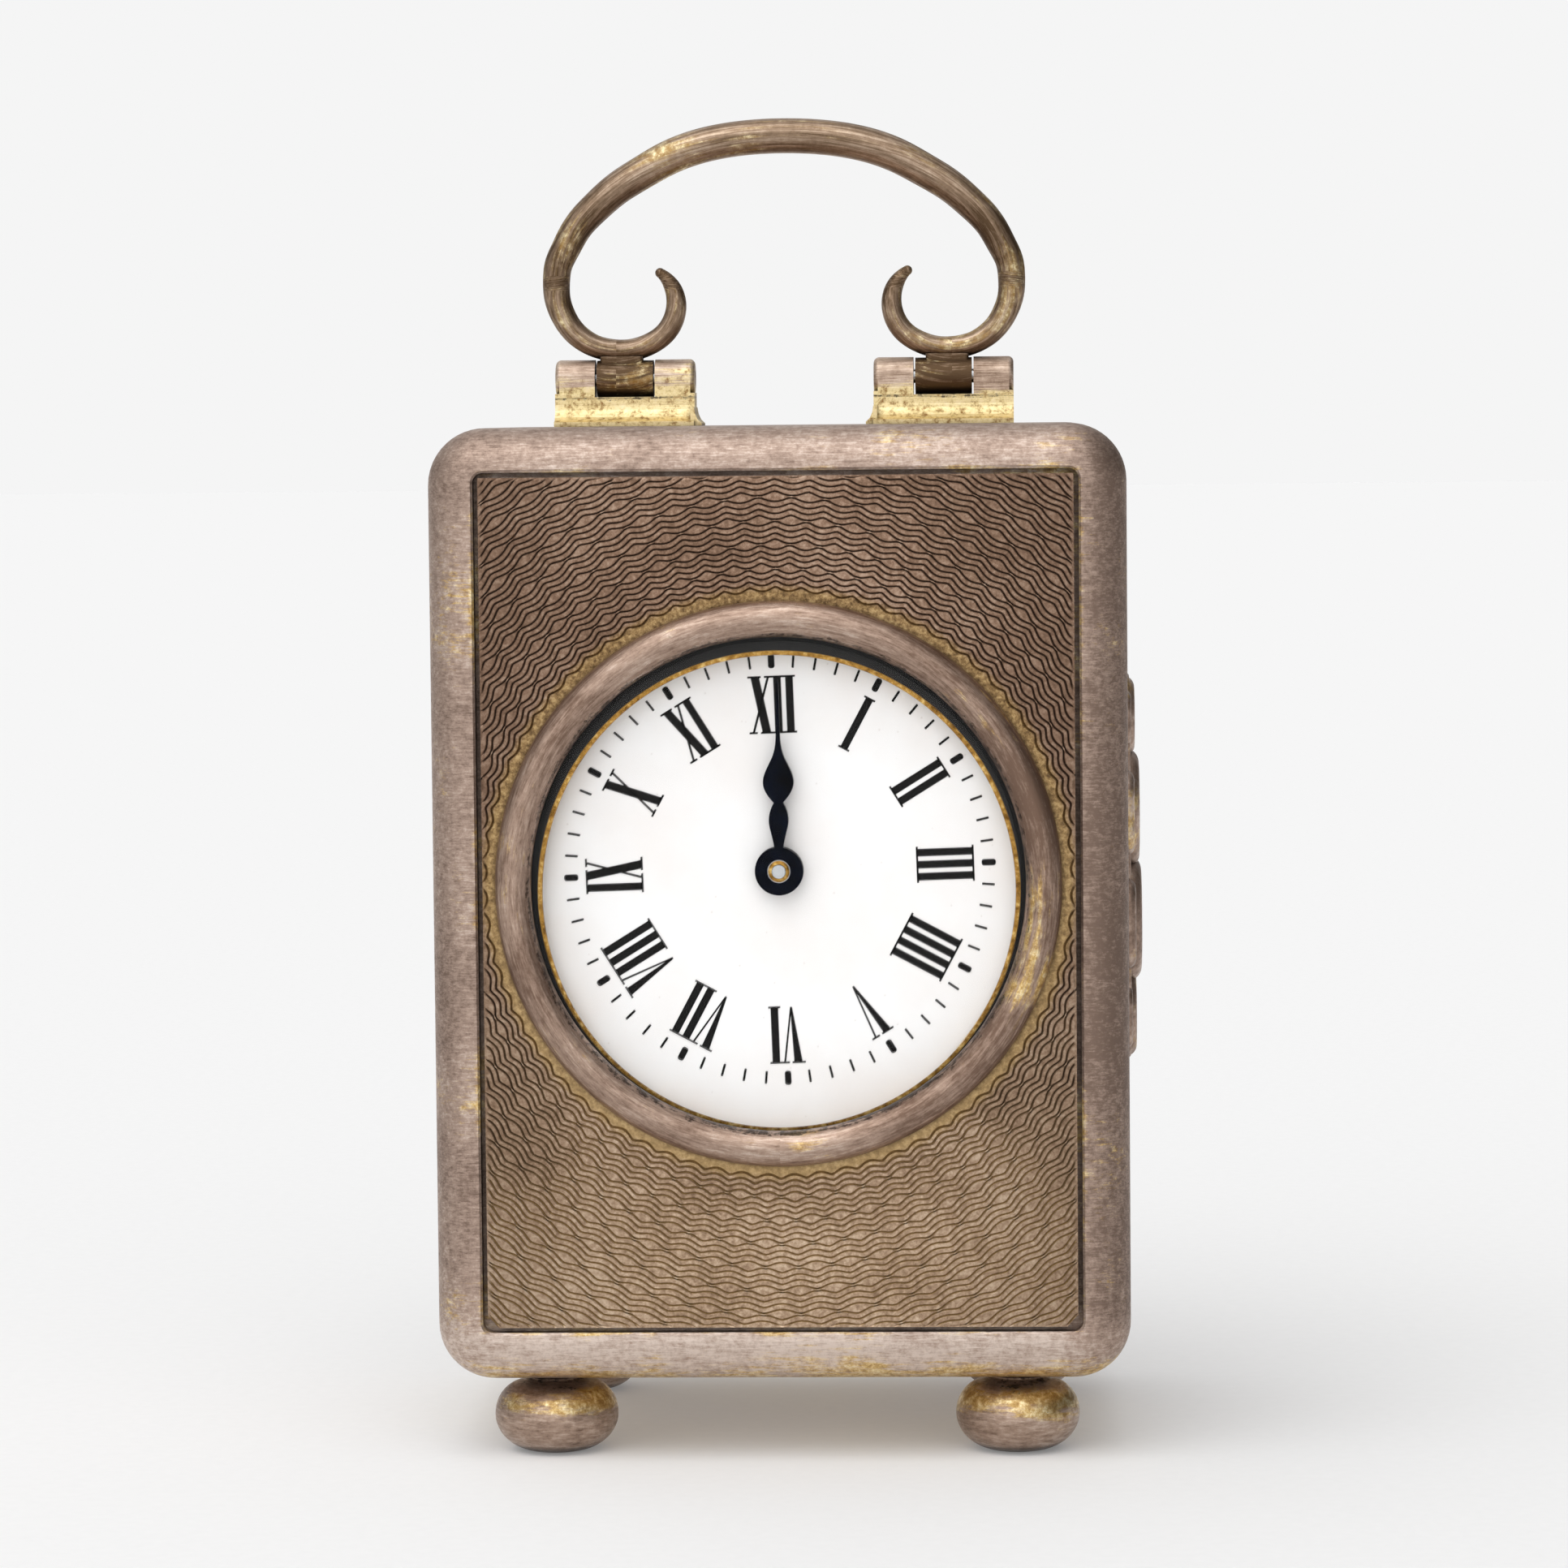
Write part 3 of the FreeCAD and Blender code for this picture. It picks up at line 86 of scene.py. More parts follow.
def mixed(tree, factor, a, b):
    """Colour a turning into colour b as the factor rises; each is a socket or a hex."""
    item = add(tree, "ShaderNodeMix", {0: factor}, data_type="RGBA")
    for number, value in ((6, a), (7, b)):
        if isinstance(value, bpy.types.NodeSocket):
            tree.links.new(value, item.inputs[number])
        else:
            item.inputs[number].default_value = linear(value)
    return item.outputs[2]


def arithmetic(tree, operation, a, b=None):
    """One sum on sockets or numbers."""
    values = {0: a} if b is None else {0: a, 1: b}
    return add(tree, "ShaderNodeMath", values, operation=operation).outputs[0]


def silver(name, tones, gilt_share, streak, roughness=0.38, gilt="#cfac68",
           place_of=None, gilt_of=None, dark_of=None, painted_light_of=None, weights=(0.34, 0.22, 0.44)):
    """Old fire-gilt silver. tones are (deep tarnish, body, worn) hex values, gilt_share the part
    still gilt, streak the (x, y, z) repeats per metre of the polishing scratches. place_of,
    gilt_of and dark_of add the streaks' own coordinates, and where gilding or tarnish gathers;
    the shading hook lifts or lowers the whole tone, as painted light and shade.
    weights share the tone between clouds, mottling and streaks."""
    material, tree = new_material(name)
    place = add(tree, "ShaderNodeTexCoord").outputs["Object"]
    streak_place = place_of(tree, place) if place_of else place
    # cloudy tarnish, about 9 mm across, over mottling of about 0.6 mm
    clouds = add(tree, "ShaderNodeTexNoise", {"Vector": place, "Scale": 110.0, "Detail": 4.0,
                                              "Roughness": 0.55}).outputs["Fac"]
    mottle = add(tree, "ShaderNodeTexNoise", {"Vector": place, "Scale": 1600.0, "Detail": 6.0,
                                              "Roughness": 0.75}).outputs["Fac"]
    grain_place = add(tree, "ShaderNodeMapping", {"Vector": streak_place, "Scale": streak}).outputs[0]
    grain = add(tree, "ShaderNodeTexNoise", {"Vector": grain_place, "Scale": 1.0, "Detail": 5.0,
                                             "Roughness": 0.75}).outputs["Fac"]
    blend = arithmetic(tree, "ADD", arithmetic(tree, "MULTIPLY", clouds, weights[0]),
                       arithmetic(tree, "MULTIPLY", mottle, weights[1]))
    blend = arithmetic(tree, "ADD", blend, arithmetic(tree, "MULTIPLY", grain, weights[2]))
    # painted light and shade: the tone lifted where light falls, lowered where shade falls
    if painted_light_of:
        blend = arithmetic(tree, "ADD", blend, painted_light_of(tree, place))
    body = ramp(tree, blend, [(0.37, tones[0]), (0.50, tones[1]), (0.63, tones[2])])
    # gilding survives as ragged streaks
    gilt_noise = add(tree, "ShaderNodeTexNoise", {"Vector": grain_place, "Scale": 0.45,
                                                  "Detail": 7.0, "Roughness": 0.8}).outputs["Fac"]
    gilt_sum = arithmetic(tree, "ADD", gilt_noise, clouds)
    if gilt_of:
        gilt_sum = arithmetic(tree, "ADD", gilt_sum, gilt_of(tree, place))
    edge = 1.22 - 0.5 * gilt_share
    gilt_mask = add(tree, "ShaderNodeMapRange", {"Value": gilt_sum, "From Min": edge - 0.05,
                                                 "From Max": edge + 0.08}).outputs[0]
    gilt_tone = ramp(tree, mottle, [(0.36, "#94713c"), (0.50, gilt), (0.64, "#f3e2b4")])
    colour = mixed(tree, arithmetic(tree, "MULTIPLY", gilt_mask, 0.9), body, gilt_tone)
    # black sulphide in patches, then painted shade darkening the corners, with the grime gathered there
    if dark_of:
        dark_sum = arithmetic(tree, "ADD", arithmetic(tree, "ADD", gilt_noise, mottle),
                              dark_of(tree, place))
        dark_mask = add(tree, "ShaderNodeMapRange", {"Value": dark_sum, "From Min": 1.22,
                                                     "From Max": 1.36}).outputs[0]
        colour = mixed(tree, arithmetic(tree, "MULTIPLY", dark_mask, 0.9), colour, "#2a1f18")
    shade = add(tree, "ShaderNodeAmbientOcclusion", {"Distance": 0.9 * MM}, samples=6)
    grime_and_painted_shade = add(tree, "ShaderNodeMapRange", {"Value": shade.outputs["AO"], "From Min": 0.30,
                                            "From Max": 0.80, "To Min": 0.75, "To Max": 0.0})
    # towards #231a15 where ambient occlusion finds corners: painted shade, with grime
    colour = mixed(tree, grime_and_painted_shade.outputs[0], colour, "#231a15")
    rough = add(tree, "ShaderNodeMapRange", {"Value": blend, "From Min": 0.38, "From Max": 0.62,
                                             "To Min": roughness + 0.14,
                                             "To Max": roughness - 0.08}).outputs[0]
    relief = arithmetic(tree, "ADD", grain, mottle)
    bump = add(tree, "ShaderNodeBump", {"Height": relief, "Strength": 0.5,
                                        "Distance": 0.06 * MM}).outputs[0]
    surface = add(tree, "ShaderNodeBsdfPrincipled", {"Base Color": colour, "Metallic": 0.85,
                                                     "Roughness": rough, "Normal": bump})
    add(tree, "ShaderNodeOutputMaterial", {"Surface": surface.outputs[0]})
    return material


def finish(material, *nodes):
    """Gives CAD nodes their finished material."""
    for name in nodes:
        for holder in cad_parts[name].material_slots:
            holder.material = material


def part_of(tree, place, axis, low, high, amount):
    """amount where a coordinate passes low towards high (metres), fading to nothing before."""
    value = add(tree, "ShaderNodeSeparateXYZ", {"Vector": place}).outputs[axis]
    return add(tree, "ShaderNodeMapRange", {"Value": value, "From Min": low, "From Max": high,
                                            "To Max": amount}).outputs[0]


LIP_HALF_X = 23.4 * MM
LIP_MIDDLE_Z = 44.45 * MM
LIP_HALF_Z = 33.65 * MM


def case_gilding(tree, place):
    """What is left clings under the body and along the lip round the front panel."""
    split = add(tree, "ShaderNodeSeparateXYZ", {"Vector": place}).outputs
    out_x = arithmetic(tree, "SUBTRACT", arithmetic(tree, "ABSOLUTE", split["X"]), LIP_HALF_X)
    off_z = arithmetic(tree, "ABSOLUTE", arithmetic(tree, "SUBTRACT", split["Z"], LIP_MIDDLE_Z))
    out = arithmetic(tree, "MAXIMUM", out_x, arithmetic(tree, "SUBTRACT", off_z, LIP_HALF_Z))
    lip = add(tree, "ShaderNodeMapRange", {"Value": out, "From Min": 0.8 * MM, "From Max": 0.2 * MM,
                                           "To Max": 0.17}).outputs[0]
    lip = arithmetic(tree, "MULTIPLY", lip, part_of(tree, place, "Y", -19.0 * MM, -20.5 * MM, 1.0))
    return arithmetic(tree, "ADD", lip, part_of(tree, place, "Z", 9.2 * MM, 6.8 * MM, 0.25))


def summed(tree, place, *parts):
    """Adds up several part_of terms, each given as (axis, low, high, amount)."""
    total = part_of(tree, place, *parts[0])
    for part in parts[1:]:
        total = arithmetic(tree, "ADD", total, part_of(tree, place, *part))
    return total


def case_painted_shading(tree, place):
    """Painted shade on both flanks, the right one most, and painted light on the bottom edge, as the
    floor lights it.
    """
    return summed(tree, place, ("X", 21.0 * MM, 25.0 * MM, -0.10), ("X", -21.0 * MM, -25.0 * MM, -0.04),
                  ("Z", 12.5 * MM, 10.0 * MM, 0.09))


case_silver = silver("tarnished_silver_hand_polished", ("#7c685c", "#ab9587", "#d6c5b9"), 0.05,
                     (700.0, 3600.0, 7000.0), gilt_of=case_gilding, painted_light_of=case_painted_shading,
                     weights=(0.26, 0.38, 0.36))
finish(case_silver, "front_frame", "case_wrap", "back_frame")

# --- The engine-turned front panel -----------------------------------------------------------
# Silver sheet cut on a rose engine: wavy grooves circle the bezel, seventy-two lobes to the
# turn, four in step and then shifted by half a lobe, so rows of lozenges stay between them.

PANEL_HALF_X = 23.3 * MM
PANEL_LOW = 10.9 * MM
PANEL_HIGH = 78.0 * MM
PANEL_FACE = -20.9 * MM
PANEL_BACK = -19.8 * MM
BEZEL_Z = 46.0 * MM
HOLE_RADIUS = 21.05 * MM


def socket_in(tree, name, kind, default=None):
    """Adds a named input to a geometry tree and gives back its identifier."""
    item = tree.interface.new_socket(name=name, in_out="INPUT", socket_type=kind)
    if default is not None:
        item.default_value = default
    return item.identifier


def grown(name, tree, values):
    """Runs a geometry tree on an empty mesh and keeps the result as a plain mesh."""
    holder = bpy.data.objects.new(name + "_source", bpy.data.meshes.new(name + "_source"))
    bpy.context.scene.collection.objects.link(holder)
    modifier = holder.modifiers.new("nodes", "NODES")
    modifier.node_group = tree
    for identifier, value in values.items():
        modifier[identifier] = value
    evaluated = holder.evaluated_get(bpy.context.evaluated_depsgraph_get())
    mesh = bpy.data.meshes.new_from_object(evaluated)
    bpy.data.objects.remove(holder)
    mesh.name = name
    dressing = [material for material in mesh.materials if material]
    mesh.materials.clear()
    mesh.materials.append(dressing[0])
    for face in mesh.polygons:
        face.material_index = 0
    piece = bpy.data.objects.new(name, mesh)
    bpy.context.scene.collection.objects.link(piece)
    return piece


def rose_engine_tree():
    """Rows of points ringed round the bezel: the hole's rim, then three for each groove."""
    tree = bpy.data.node_groups.new("rose_engine_grooves", "GeometryNodeTree")
    keys = {}
    for name, default in (("Groove count", 41), ("Lobes per turn", 72), ("Steps per lobe", 10),
                          ("Grooves in step", 4)):
        keys[name] = socket_in(tree, name, "NodeSocketInt", default)
    for name in ("Hole radius", "First radius", "Groove pitch", "Groove half width", "Wave height",
                 "Groove depth", "Fade width"):
        keys[name] = socket_in(tree, name, "NodeSocketFloat", 0.0)
    keys["Silver"] = socket_in(tree, "Silver", "NodeSocketMaterial")
    tree.interface.new_socket(name="Geometry", in_out="OUTPUT", socket_type="NodeSocketGeometry")
    given = add(tree, "NodeGroupInput").outputs

    def maths(operation, a, b=None):
        return arithmetic(tree, operation, a, b)

    rows = maths("ADD", maths("MULTIPLY", given["Groove count"], 3.0), 1.0)
    steps = maths("MULTIPLY", given["Lobes per turn"], given["Steps per lobe"])
    grid = add(tree, "GeometryNodeMeshGrid", {"Size X": 1.0, "Size Y": 1.0, "Vertices X": rows,
                                              "Vertices Y": maths("ADD", steps, 1.0)})
    spot = add(tree, "ShaderNodeSeparateXYZ",
               {"Vector": add(tree, "GeometryNodeInputPosition").outputs[0]}).outputs
    row = maths("ROUND", maths("MULTIPLY", maths("ADD", spot["X"], 0.5), maths("SUBTRACT", rows, 1.0)))
    turn = maths("MULTIPLY", maths("ADD", spot["Y"], 0.5), 2 * math.pi)
    groove = maths("FLOOR", maths("DIVIDE", maths("SUBTRACT", row, 0.5), 3.0))
    part = maths("SUBTRACT", maths("SUBTRACT", row, 1.0), maths("MULTIPLY", groove, 3.0))
    side = maths("SUBTRACT", part, 1.0)
    inner_rim = maths("LESS_THAN", row, 0.5)
    group = maths("FLOOR", maths("DIVIDE", groove, given["Grooves in step"]))
    shift = maths("MULTIPLY", maths("MODULO", group, 2.0), math.pi / 2)
    angle = maths("ADD", maths("MULTIPLY", turn, maths("DIVIDE", given["Lobes per turn"], 2.0)), shift)
    swing = maths("SINE", angle)
    # the added part rounds the points where two lobes meet
    wave = maths("SQRT", maths("ADD", maths("MULTIPLY", swing, swing), 0.08))
    wave = maths("MULTIPLY", wave, given["Wave height"])
    radius = maths("ADD", given["First radius"], maths("MULTIPLY", groove, given["Groove pitch"]))
    radius = maths("ADD", radius, maths("MULTIPLY", side, given["Groove half width"]))
    radius = maths("SUBTRACT", radius, wave)
    radius = maths("ADD", maths("MULTIPLY", radius, maths("SUBTRACT", 1.0, inner_rim)),
                   maths("MULTIPLY", given["Hole radius"], inner_rim))
    x = maths("MULTIPLY", radius, maths("SINE", turn))
    z = maths("ADD", maths("MULTIPLY", radius, maths("COSINE", turn)), BEZEL_Z)
    margin = maths("SUBTRACT", PANEL_HALF_X, maths("ABSOLUTE", x))
    margin = maths("MINIMUM", margin, maths("SUBTRACT", z, PANEL_LOW))
    margin = maths("MINIMUM", margin, maths("SUBTRACT", PANEL_HIGH, z))
    fade = add(tree, "ShaderNodeMapRange", {"Value": margin, "From Min": 0.0,
                                            "From Max": given["Fade width"]}).outputs[0]
    bottom = maths("SUBTRACT", 1.0, maths("MINIMUM", maths("ABSOLUTE", side), 1.0))
    bottom = maths("MULTIPLY", bottom, maths("SUBTRACT", 1.0, inner_rim))
    depth = maths("MULTIPLY", maths("MULTIPLY", bottom, given["Groove depth"]), fade)
    place = add(tree, "ShaderNodeCombineXYZ", {"X": x, "Y": maths("ADD", depth, PANEL_FACE), "Z": z})
    moved = add(tree, "GeometryNodeSetPosition", {"Geometry": grid.outputs["Mesh"],
                                                  "Position": place.outputs[0]})
    closed = add(tree, "GeometryNodeMergeByDistance", {"Geometry": moved.outputs[0],
                                                       "Distance": 1e-6})
    real = add(tree, "GeometryNodeRealizeInstances", {"Geometry": closed.outputs[0]})
    dressed = add(tree, "GeometryNodeSetMaterial", {"Geometry": real.outputs[0],
                                                    "Material": given["Silver"]})
    add(tree, "NodeGroupOutput", {"Geometry": dressed.outputs[0]})
    return tree, keys


def trimmed_plate(piece):
    """Trims the turned disc to the panel's outline and gives it its thickness."""
    work = bmesh.new()
    work.from_mesh(piece.data)
    cuts = ((PANEL_HALF_X, 0, 0, 1, 0, 0), (-PANEL_HALF_X, 0, 0, -1, 0, 0),
            (0, 0, PANEL_HIGH, 0, 0, 1), (0, 0, PANEL_LOW, 0, 0, -1))
    for px, py, pz, nx, ny, nz in cuts:
        bmesh.ops.bisect_plane(work, geom=work.verts[:] + work.edges[:] + work.faces[:], dist=1e-7,
                               plane_co=(px, py, pz), plane_no=(nx, ny, nz), clear_outer=True)
    rim = [e for e in work.edges if e.is_boundary]
    grown_rim = bmesh.ops.extrude_edge_only(work, edges=rim)["geom"]
    back_edges = [e for e in grown_rim if isinstance(e, bmesh.types.BMEdge)]
    for vertex in [v for v in grown_rim if isinstance(v, bmesh.types.BMVert)]:
        vertex.co.y = PANEL_BACK
    back_edges = [e for e in back_edges if all(abs(v.co.y - PANEL_BACK) < 1e-7 for v in e.verts)]
    filled = bmesh.ops.triangle_fill(work, edges=back_edges, use_beauty=True)["geom"]
    # a face with all its corners on the hole's edge lies across the hole
    across_hole = [f for f in filled if isinstance(f, bmesh.types.BMFace)
                   and all(math.hypot(v.co.x, v.co.z - BEZEL_Z) < HOLE_RADIUS + 0.1 * MM
                           for v in f.verts)]
    bmesh.ops.delete(work, geom=across_hole, context="FACES_ONLY")
    bmesh.ops.recalc_face_normals(work, faces=work.faces[:])
    work.to_mesh(piece.data)
    work.free()


def from_centre(tree, split, centre_z):
    """Distance, in the plane of the front, from a centre on the middle line."""
    rise = arithmetic(tree, "SUBTRACT", split["Z"], centre_z)
    return arithmetic(tree, "SQRT", arithmetic(tree, "ADD", arithmetic(tree, "MULTIPLY", rise, rise),
                                               arithmetic(tree, "MULTIPLY", split["X"], split["X"])))


GOLD_FADE = -18.0       # how fast gilding in the grooves gives out, per metre from the middle line


def engine_turned_silver():
    """Tarnished land, painted lighter towards the bottom as light and darker towards the sides as
    shade, between grooves that hold black grime above and old gilding below, that gilding partly
    painted light, and a rubbed gilt ring where the bezel keeps fingers off; painted shade darkens the
    corners."""
    material, tree = new_material("engine_turned_silver")
    place = add(tree, "ShaderNodeTexCoord").outputs["Object"]
    split = add(tree, "ShaderNodeSeparateXYZ", {"Vector": place}).outputs
    clouds = add(tree, "ShaderNodeTexNoise", {"Vector": place, "Scale": 95.0, "Detail": 4.0,
                                              "Roughness": 0.6}).outputs["Fac"]
    mottle = add(tree, "ShaderNodeTexNoise", {"Vector": place, "Scale": 2400.0, "Detail": 6.0,
                                              "Roughness": 0.75}).outputs["Fac"]
    blend = arithmetic(tree, "ADD", arithmetic(tree, "MULTIPLY", clouds, 0.3),
                       arithmetic(tree, "MULTIPLY", mottle, 0.7))
    # the upper tone darker and the lower one lighter: the same tarnish in painted shade and painted
    # light
    high = ramp(tree, blend, [(0.38, "#6a5241"), (0.50, "#8b6f5b"), (0.62, "#ad937f")])
    low = ramp(tree, blend, [(0.38, "#836a53"), (0.50, "#a98f76"), (0.62, "#cbb49b")])
    # 0 at the top, 1 at the bottom: painted light lifting the lower half
    lower_painted_light = add(tree, "ShaderNodeMapRange", {"Value": split["Z"], "From Min": 56 * MM,
                                            "From Max": 18 * MM}).outputs[0]
    # darker towards both sides: painted shade
    flank = add(tree, "ShaderNodeMapRange", {"Value": arithmetic(tree, "ABSOLUTE", split["X"]),
                                             "From Min": 9 * MM, "From Max": 24 * MM,
                                             "To Max": 0.38}).outputs[0]
    land = mixed(tree, flank, mixed(tree, lower_painted_light, high, low), "#584335")
    # 0 on the land, 1 at the bottom of a groove
    depth = add(tree, "ShaderNodeMapRange", {"Value": split["Y"], "From Min": PANEL_FACE + 0.045 * MM,
                                             "From Max": PANEL_FACE + 0.095 * MM}).outputs[0]
    side = arithmetic(tree, "MULTIPLY", arithmetic(tree, "ABSOLUTE", split["X"]), GOLD_FADE)
    # gilding in the grooves rises with the painted light towards the bottom, so it is partly painted
    # light
    gold = arithmetic(tree, "ADD", arithmetic(tree, "ADD", lower_painted_light, side),
                      arithmetic(tree, "MULTIPLY", clouds, 0.9))
    gold = add(tree, "ShaderNodeMapRange", {"Value": gold, "From Min": 0.62,
                                            "From Max": 1.0}).outputs[0]
    fill = mixed(tree, gold, "#2c2018", "#b39762")
    colour = mixed(tree, arithmetic(tree, "MULTIPLY", depth, 0.95), land, fill)
    radius = from_centre(tree, split, BEZEL_Z)
    ragged = arithmetic(tree, "ADD", radius, arithmetic(tree, "MULTIPLY", mottle, 1.3 * MM))
    ring = add(tree, "ShaderNodeMapRange", {"Value": ragged, "From Min": 24.3 * MM,
                                            "From Max": 23.6 * MM, "To Max": 0.8}).outputs[0]
    rub = ramp(tree, mottle, [(0.36, "#5b4529"), (0.50, "#94774a"), (0.64, "#c3a56f")])
    # the gilt ring lighter towards the bottom: painted light
    rub = mixed(tree, arithmetic(tree, "MULTIPLY", lower_painted_light, 0.6), rub, "#bda06e")
    colour = mixed(tree, ring, colour, rub)
    # painted shade in corners, with the grime gathered there
    shade = add(tree, "ShaderNodeAmbientOcclusion", {"Distance": 0.6 * MM}, samples=6)
    grime_and_painted_shade = add(tree, "ShaderNodeMapRange", {"Value": shade.outputs["AO"], "From Min": 0.30,
                                            "From Max": 0.85, "To Min": 0.7, "To Max": 0.0})
    colour = mixed(tree, grime_and_painted_shade.outputs[0], colour, "#231a15")
    rough = add(tree, "ShaderNodeMapRange", {"Value": blend, "From Min": 0.35, "From Max": 0.65,
                                             "To Min": 0.55, "To Max": 0.34}).outputs[0]
    bump = add(tree, "ShaderNodeBump", {"Height": mottle, "Strength": 0.5,
                                        "Distance": 0.04 * MM}).outputs[0]
    surface = add(tree, "ShaderNodeBsdfPrincipled", {"Base Color": colour, "Metallic": 0.8,
                                                     "Roughness": rough, "Normal": bump})
    add(tree, "ShaderNodeOutputMaterial", {"Surface": surface.outputs[0]})
    return material


groove_tree, key = rose_engine_tree()
turned_silver = engine_turned_silver()
panel = grown("engine_turned_panel", groove_tree, {
    key["Groove count"]: 40, key["Lobes per turn"]: 72, key["Steps per lobe"]: 10,
    key["Grooves in step"]: 4, key["Hole radius"]: HOLE_RADIUS, key["First radius"]: 23.42 * MM,
    key["Groove pitch"]: 0.468 * MM, key["Groove half width"]: 0.115 * MM,
    key["Wave height"]: 0.45 * MM, key["Groove depth"]: 0.11 * MM, key["Fade width"]: 0.25 * MM,
    key["Silver"]: turned_silver})
trimmed_plate(panel)
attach(panel, "case")
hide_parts("front_panel")

# --- Bezel, crystal and sight ring -----------------------------------------------------------
# Half-round silver ring soldered into the panel, flat glass held from behind by a brass ring
# with a gilt sight edge; outside that edge the ring is painted black as the shade of the recess.


CREST_RADIUS = 21.0 * MM


def bezel_dark(tree, place):
    """Black gathers on the slope that turns in towards the glass."""
    split = add(tree, "ShaderNodeSeparateXYZ", {"Vector": place}).outputs
    radius = from_centre(tree, split, BEZEL_Z)
    return add(tree, "ShaderNodeMapRange", {"Value": radius, "From Min": 20.05 * MM,
                                            "From Max": 19.6 * MM, "To Max": 0.30}).outputs[0]


def round_the_dial(tree, place):
    """Streaks run round the ring, as the lathe left them."""
    split = add(tree, "ShaderNodeSeparateXYZ", {"Vector": place}).outputs
    rise = arithmetic(tree, "SUBTRACT", split["Z"], BEZEL_Z)
    turn = arithmetic(tree, "ARCTAN2", split["X"], rise)
    return add(tree, "ShaderNodeCombineXYZ", {"X": arithmetic(tree, "MULTIPLY", turn, CREST_RADIUS),
                                              "Y": split["Y"],
                                              "Z": from_centre(tree, split, BEZEL_Z)}).outputs[0]


def bezel_painted_side_shade(tree, place):
    """Duller towards both sides, the right one most: painted shade."""
    return summed(tree, place, ("X", 0.0, 20.0 * MM, -0.12), ("X", -4.0 * MM, -20.0 * MM, -0.05))


bezel_silver = silver("tarnished_silver_bezel_ring", ("#735c4e", "#a68e7e", "#d3c0b2"), 0.08,
                      (420.0, 3600.0, 3600.0), roughness=0.30, dark_of=bezel_dark,
                      place_of=round_the_dial, painted_light_of=bezel_painted_side_shade, weights=(0.35, 0.17, 0.48))
finish(bezel_silver, "bezel")


def gilt_brass():
    """Brass with mercury gilding: warm, slightly satin."""
    material, tree = new_material("mercury_gilt_brass")
    place = add(tree, "ShaderNodeTexCoord").outputs["Object"]
    grain = add(tree, "ShaderNodeTexNoise", {"Vector": place, "Scale": 1800.0, "Detail": 4.0,
                                             "Roughness": 0.6}).outputs["Fac"]
    colour = ramp(tree, grain, [(0.3, "#a07c34"), (0.55, "#d0ab55"), (0.75, "#ecd08a")])
    bump = add(tree, "ShaderNodeBump", {"Height": grain, "Strength": 0.25,
                                        "Distance": 0.02 * MM}).outputs[0]
    surface = add(tree, "ShaderNodeBsdfPrincipled", {"Base Color": colour, "Metallic": 1.0,
                                                     "Roughness": 0.3, "Normal": bump})
    add(tree, "ShaderNodeOutputMaterial", {"Surface": surface.outputs[0]})
    return material


gilding = gilt_brass()

SIGHT_Z = 45.35 * MM


def gilt_edged_brass_painted_shade():
    """Brass with its bored edge gilt; outside that edge it is painted black as the shade in the recess
    behind the bezel.
    """
    material, tree = new_material("gilt_edge_brass_painted_recess_shade")
    place = add(tree, "ShaderNodeTexCoord").outputs["Object"]
    split = add(tree, "ShaderNodeSeparateXYZ", {"Vector": place}).outputs
    radius = from_centre(tree, split, SIGHT_Z)
    grain = add(tree, "ShaderNodeTexNoise", {"Vector": place, "Scale": 1500.0, "Detail": 4.0,
                                             "Roughness": 0.7}).outputs["Fac"]
    ragged = arithmetic(tree, "ADD", radius, arithmetic(tree, "MULTIPLY", grain, 0.16 * MM))
    edge = add(tree, "ShaderNodeMapRange", {"Value": ragged, "From Min": 19.10 * MM,
                                            "From Max": 19.00 * MM}).outputs[0]
    gold = ramp(tree, grain, [(0.35, "#6b4a1d"), (0.52, "#a97f3a"), (0.68, "#e0c27c")])
    # near black outside the sight edge: painted shade of the recess behind the bezel
    colour = mixed(tree, edge, "#060403", gold)
    rough = add(tree, "ShaderNodeMapRange", {"Value": edge, "To Min": 0.7, "To Max": 0.35}).outputs[0]
    bump = add(tree, "ShaderNodeBump", {"Height": grain, "Strength": 0.3,
                                        "Distance": 0.03 * MM}).outputs[0]
    surface = add(tree, "ShaderNodeBsdfPrincipled", {"Base Color": colour, "Metallic": edge,
                                                     "Roughness": rough, "Normal": bump})
    add(tree, "ShaderNodeOutputMaterial", {"Surface": surface.outputs[0]})
    return material


finish(gilt_edged_brass_painted_shade(), "sight_ring", "hand_collet")


BLOOMED = 0.9       # share of the light that meets no reflection at all


def clear_glass():
    """Flat crown glass, so clean that it hardly mirrors; light passes it straight to the dial."""
    material, tree = new_material("clear_crystal_glass")
    place = add(tree, "ShaderNodeTexCoord").outputs["Object"]
    smear = add(tree, "ShaderNodeTexNoise", {"Vector": place, "Scale": 160.0,
                                             "Detail": 3.0}).outputs["Fac"]
    rough = add(tree, "ShaderNodeMapRange", {"Value": smear, "To Min": 0.0, "To Max": 0.02}).outputs[0]
    glass = add(tree, "ShaderNodeBsdfPrincipled", {"Base Color": linear("#ffffff"),
                                                   "Roughness": rough, "IOR": 1.5,
                                                   "Specular IOR Level": 0.08,
                                                   "Transmission Weight": 1.0})
    clear = add(tree, "ShaderNodeBsdfTransparent")
    path = add(tree, "ShaderNodeLightPath")
    straight = arithmetic(tree, "MAXIMUM", path.outputs["Is Shadow Ray"], BLOOMED)
    both = add(tree, "ShaderNodeMixShader", {0: straight, 1: glass.outputs[0], 2: clear.outputs[0]})
    add(tree, "ShaderNodeOutputMaterial", {"Surface": both.outputs[0]})
    return material


finish(clear_glass(), "crystal")

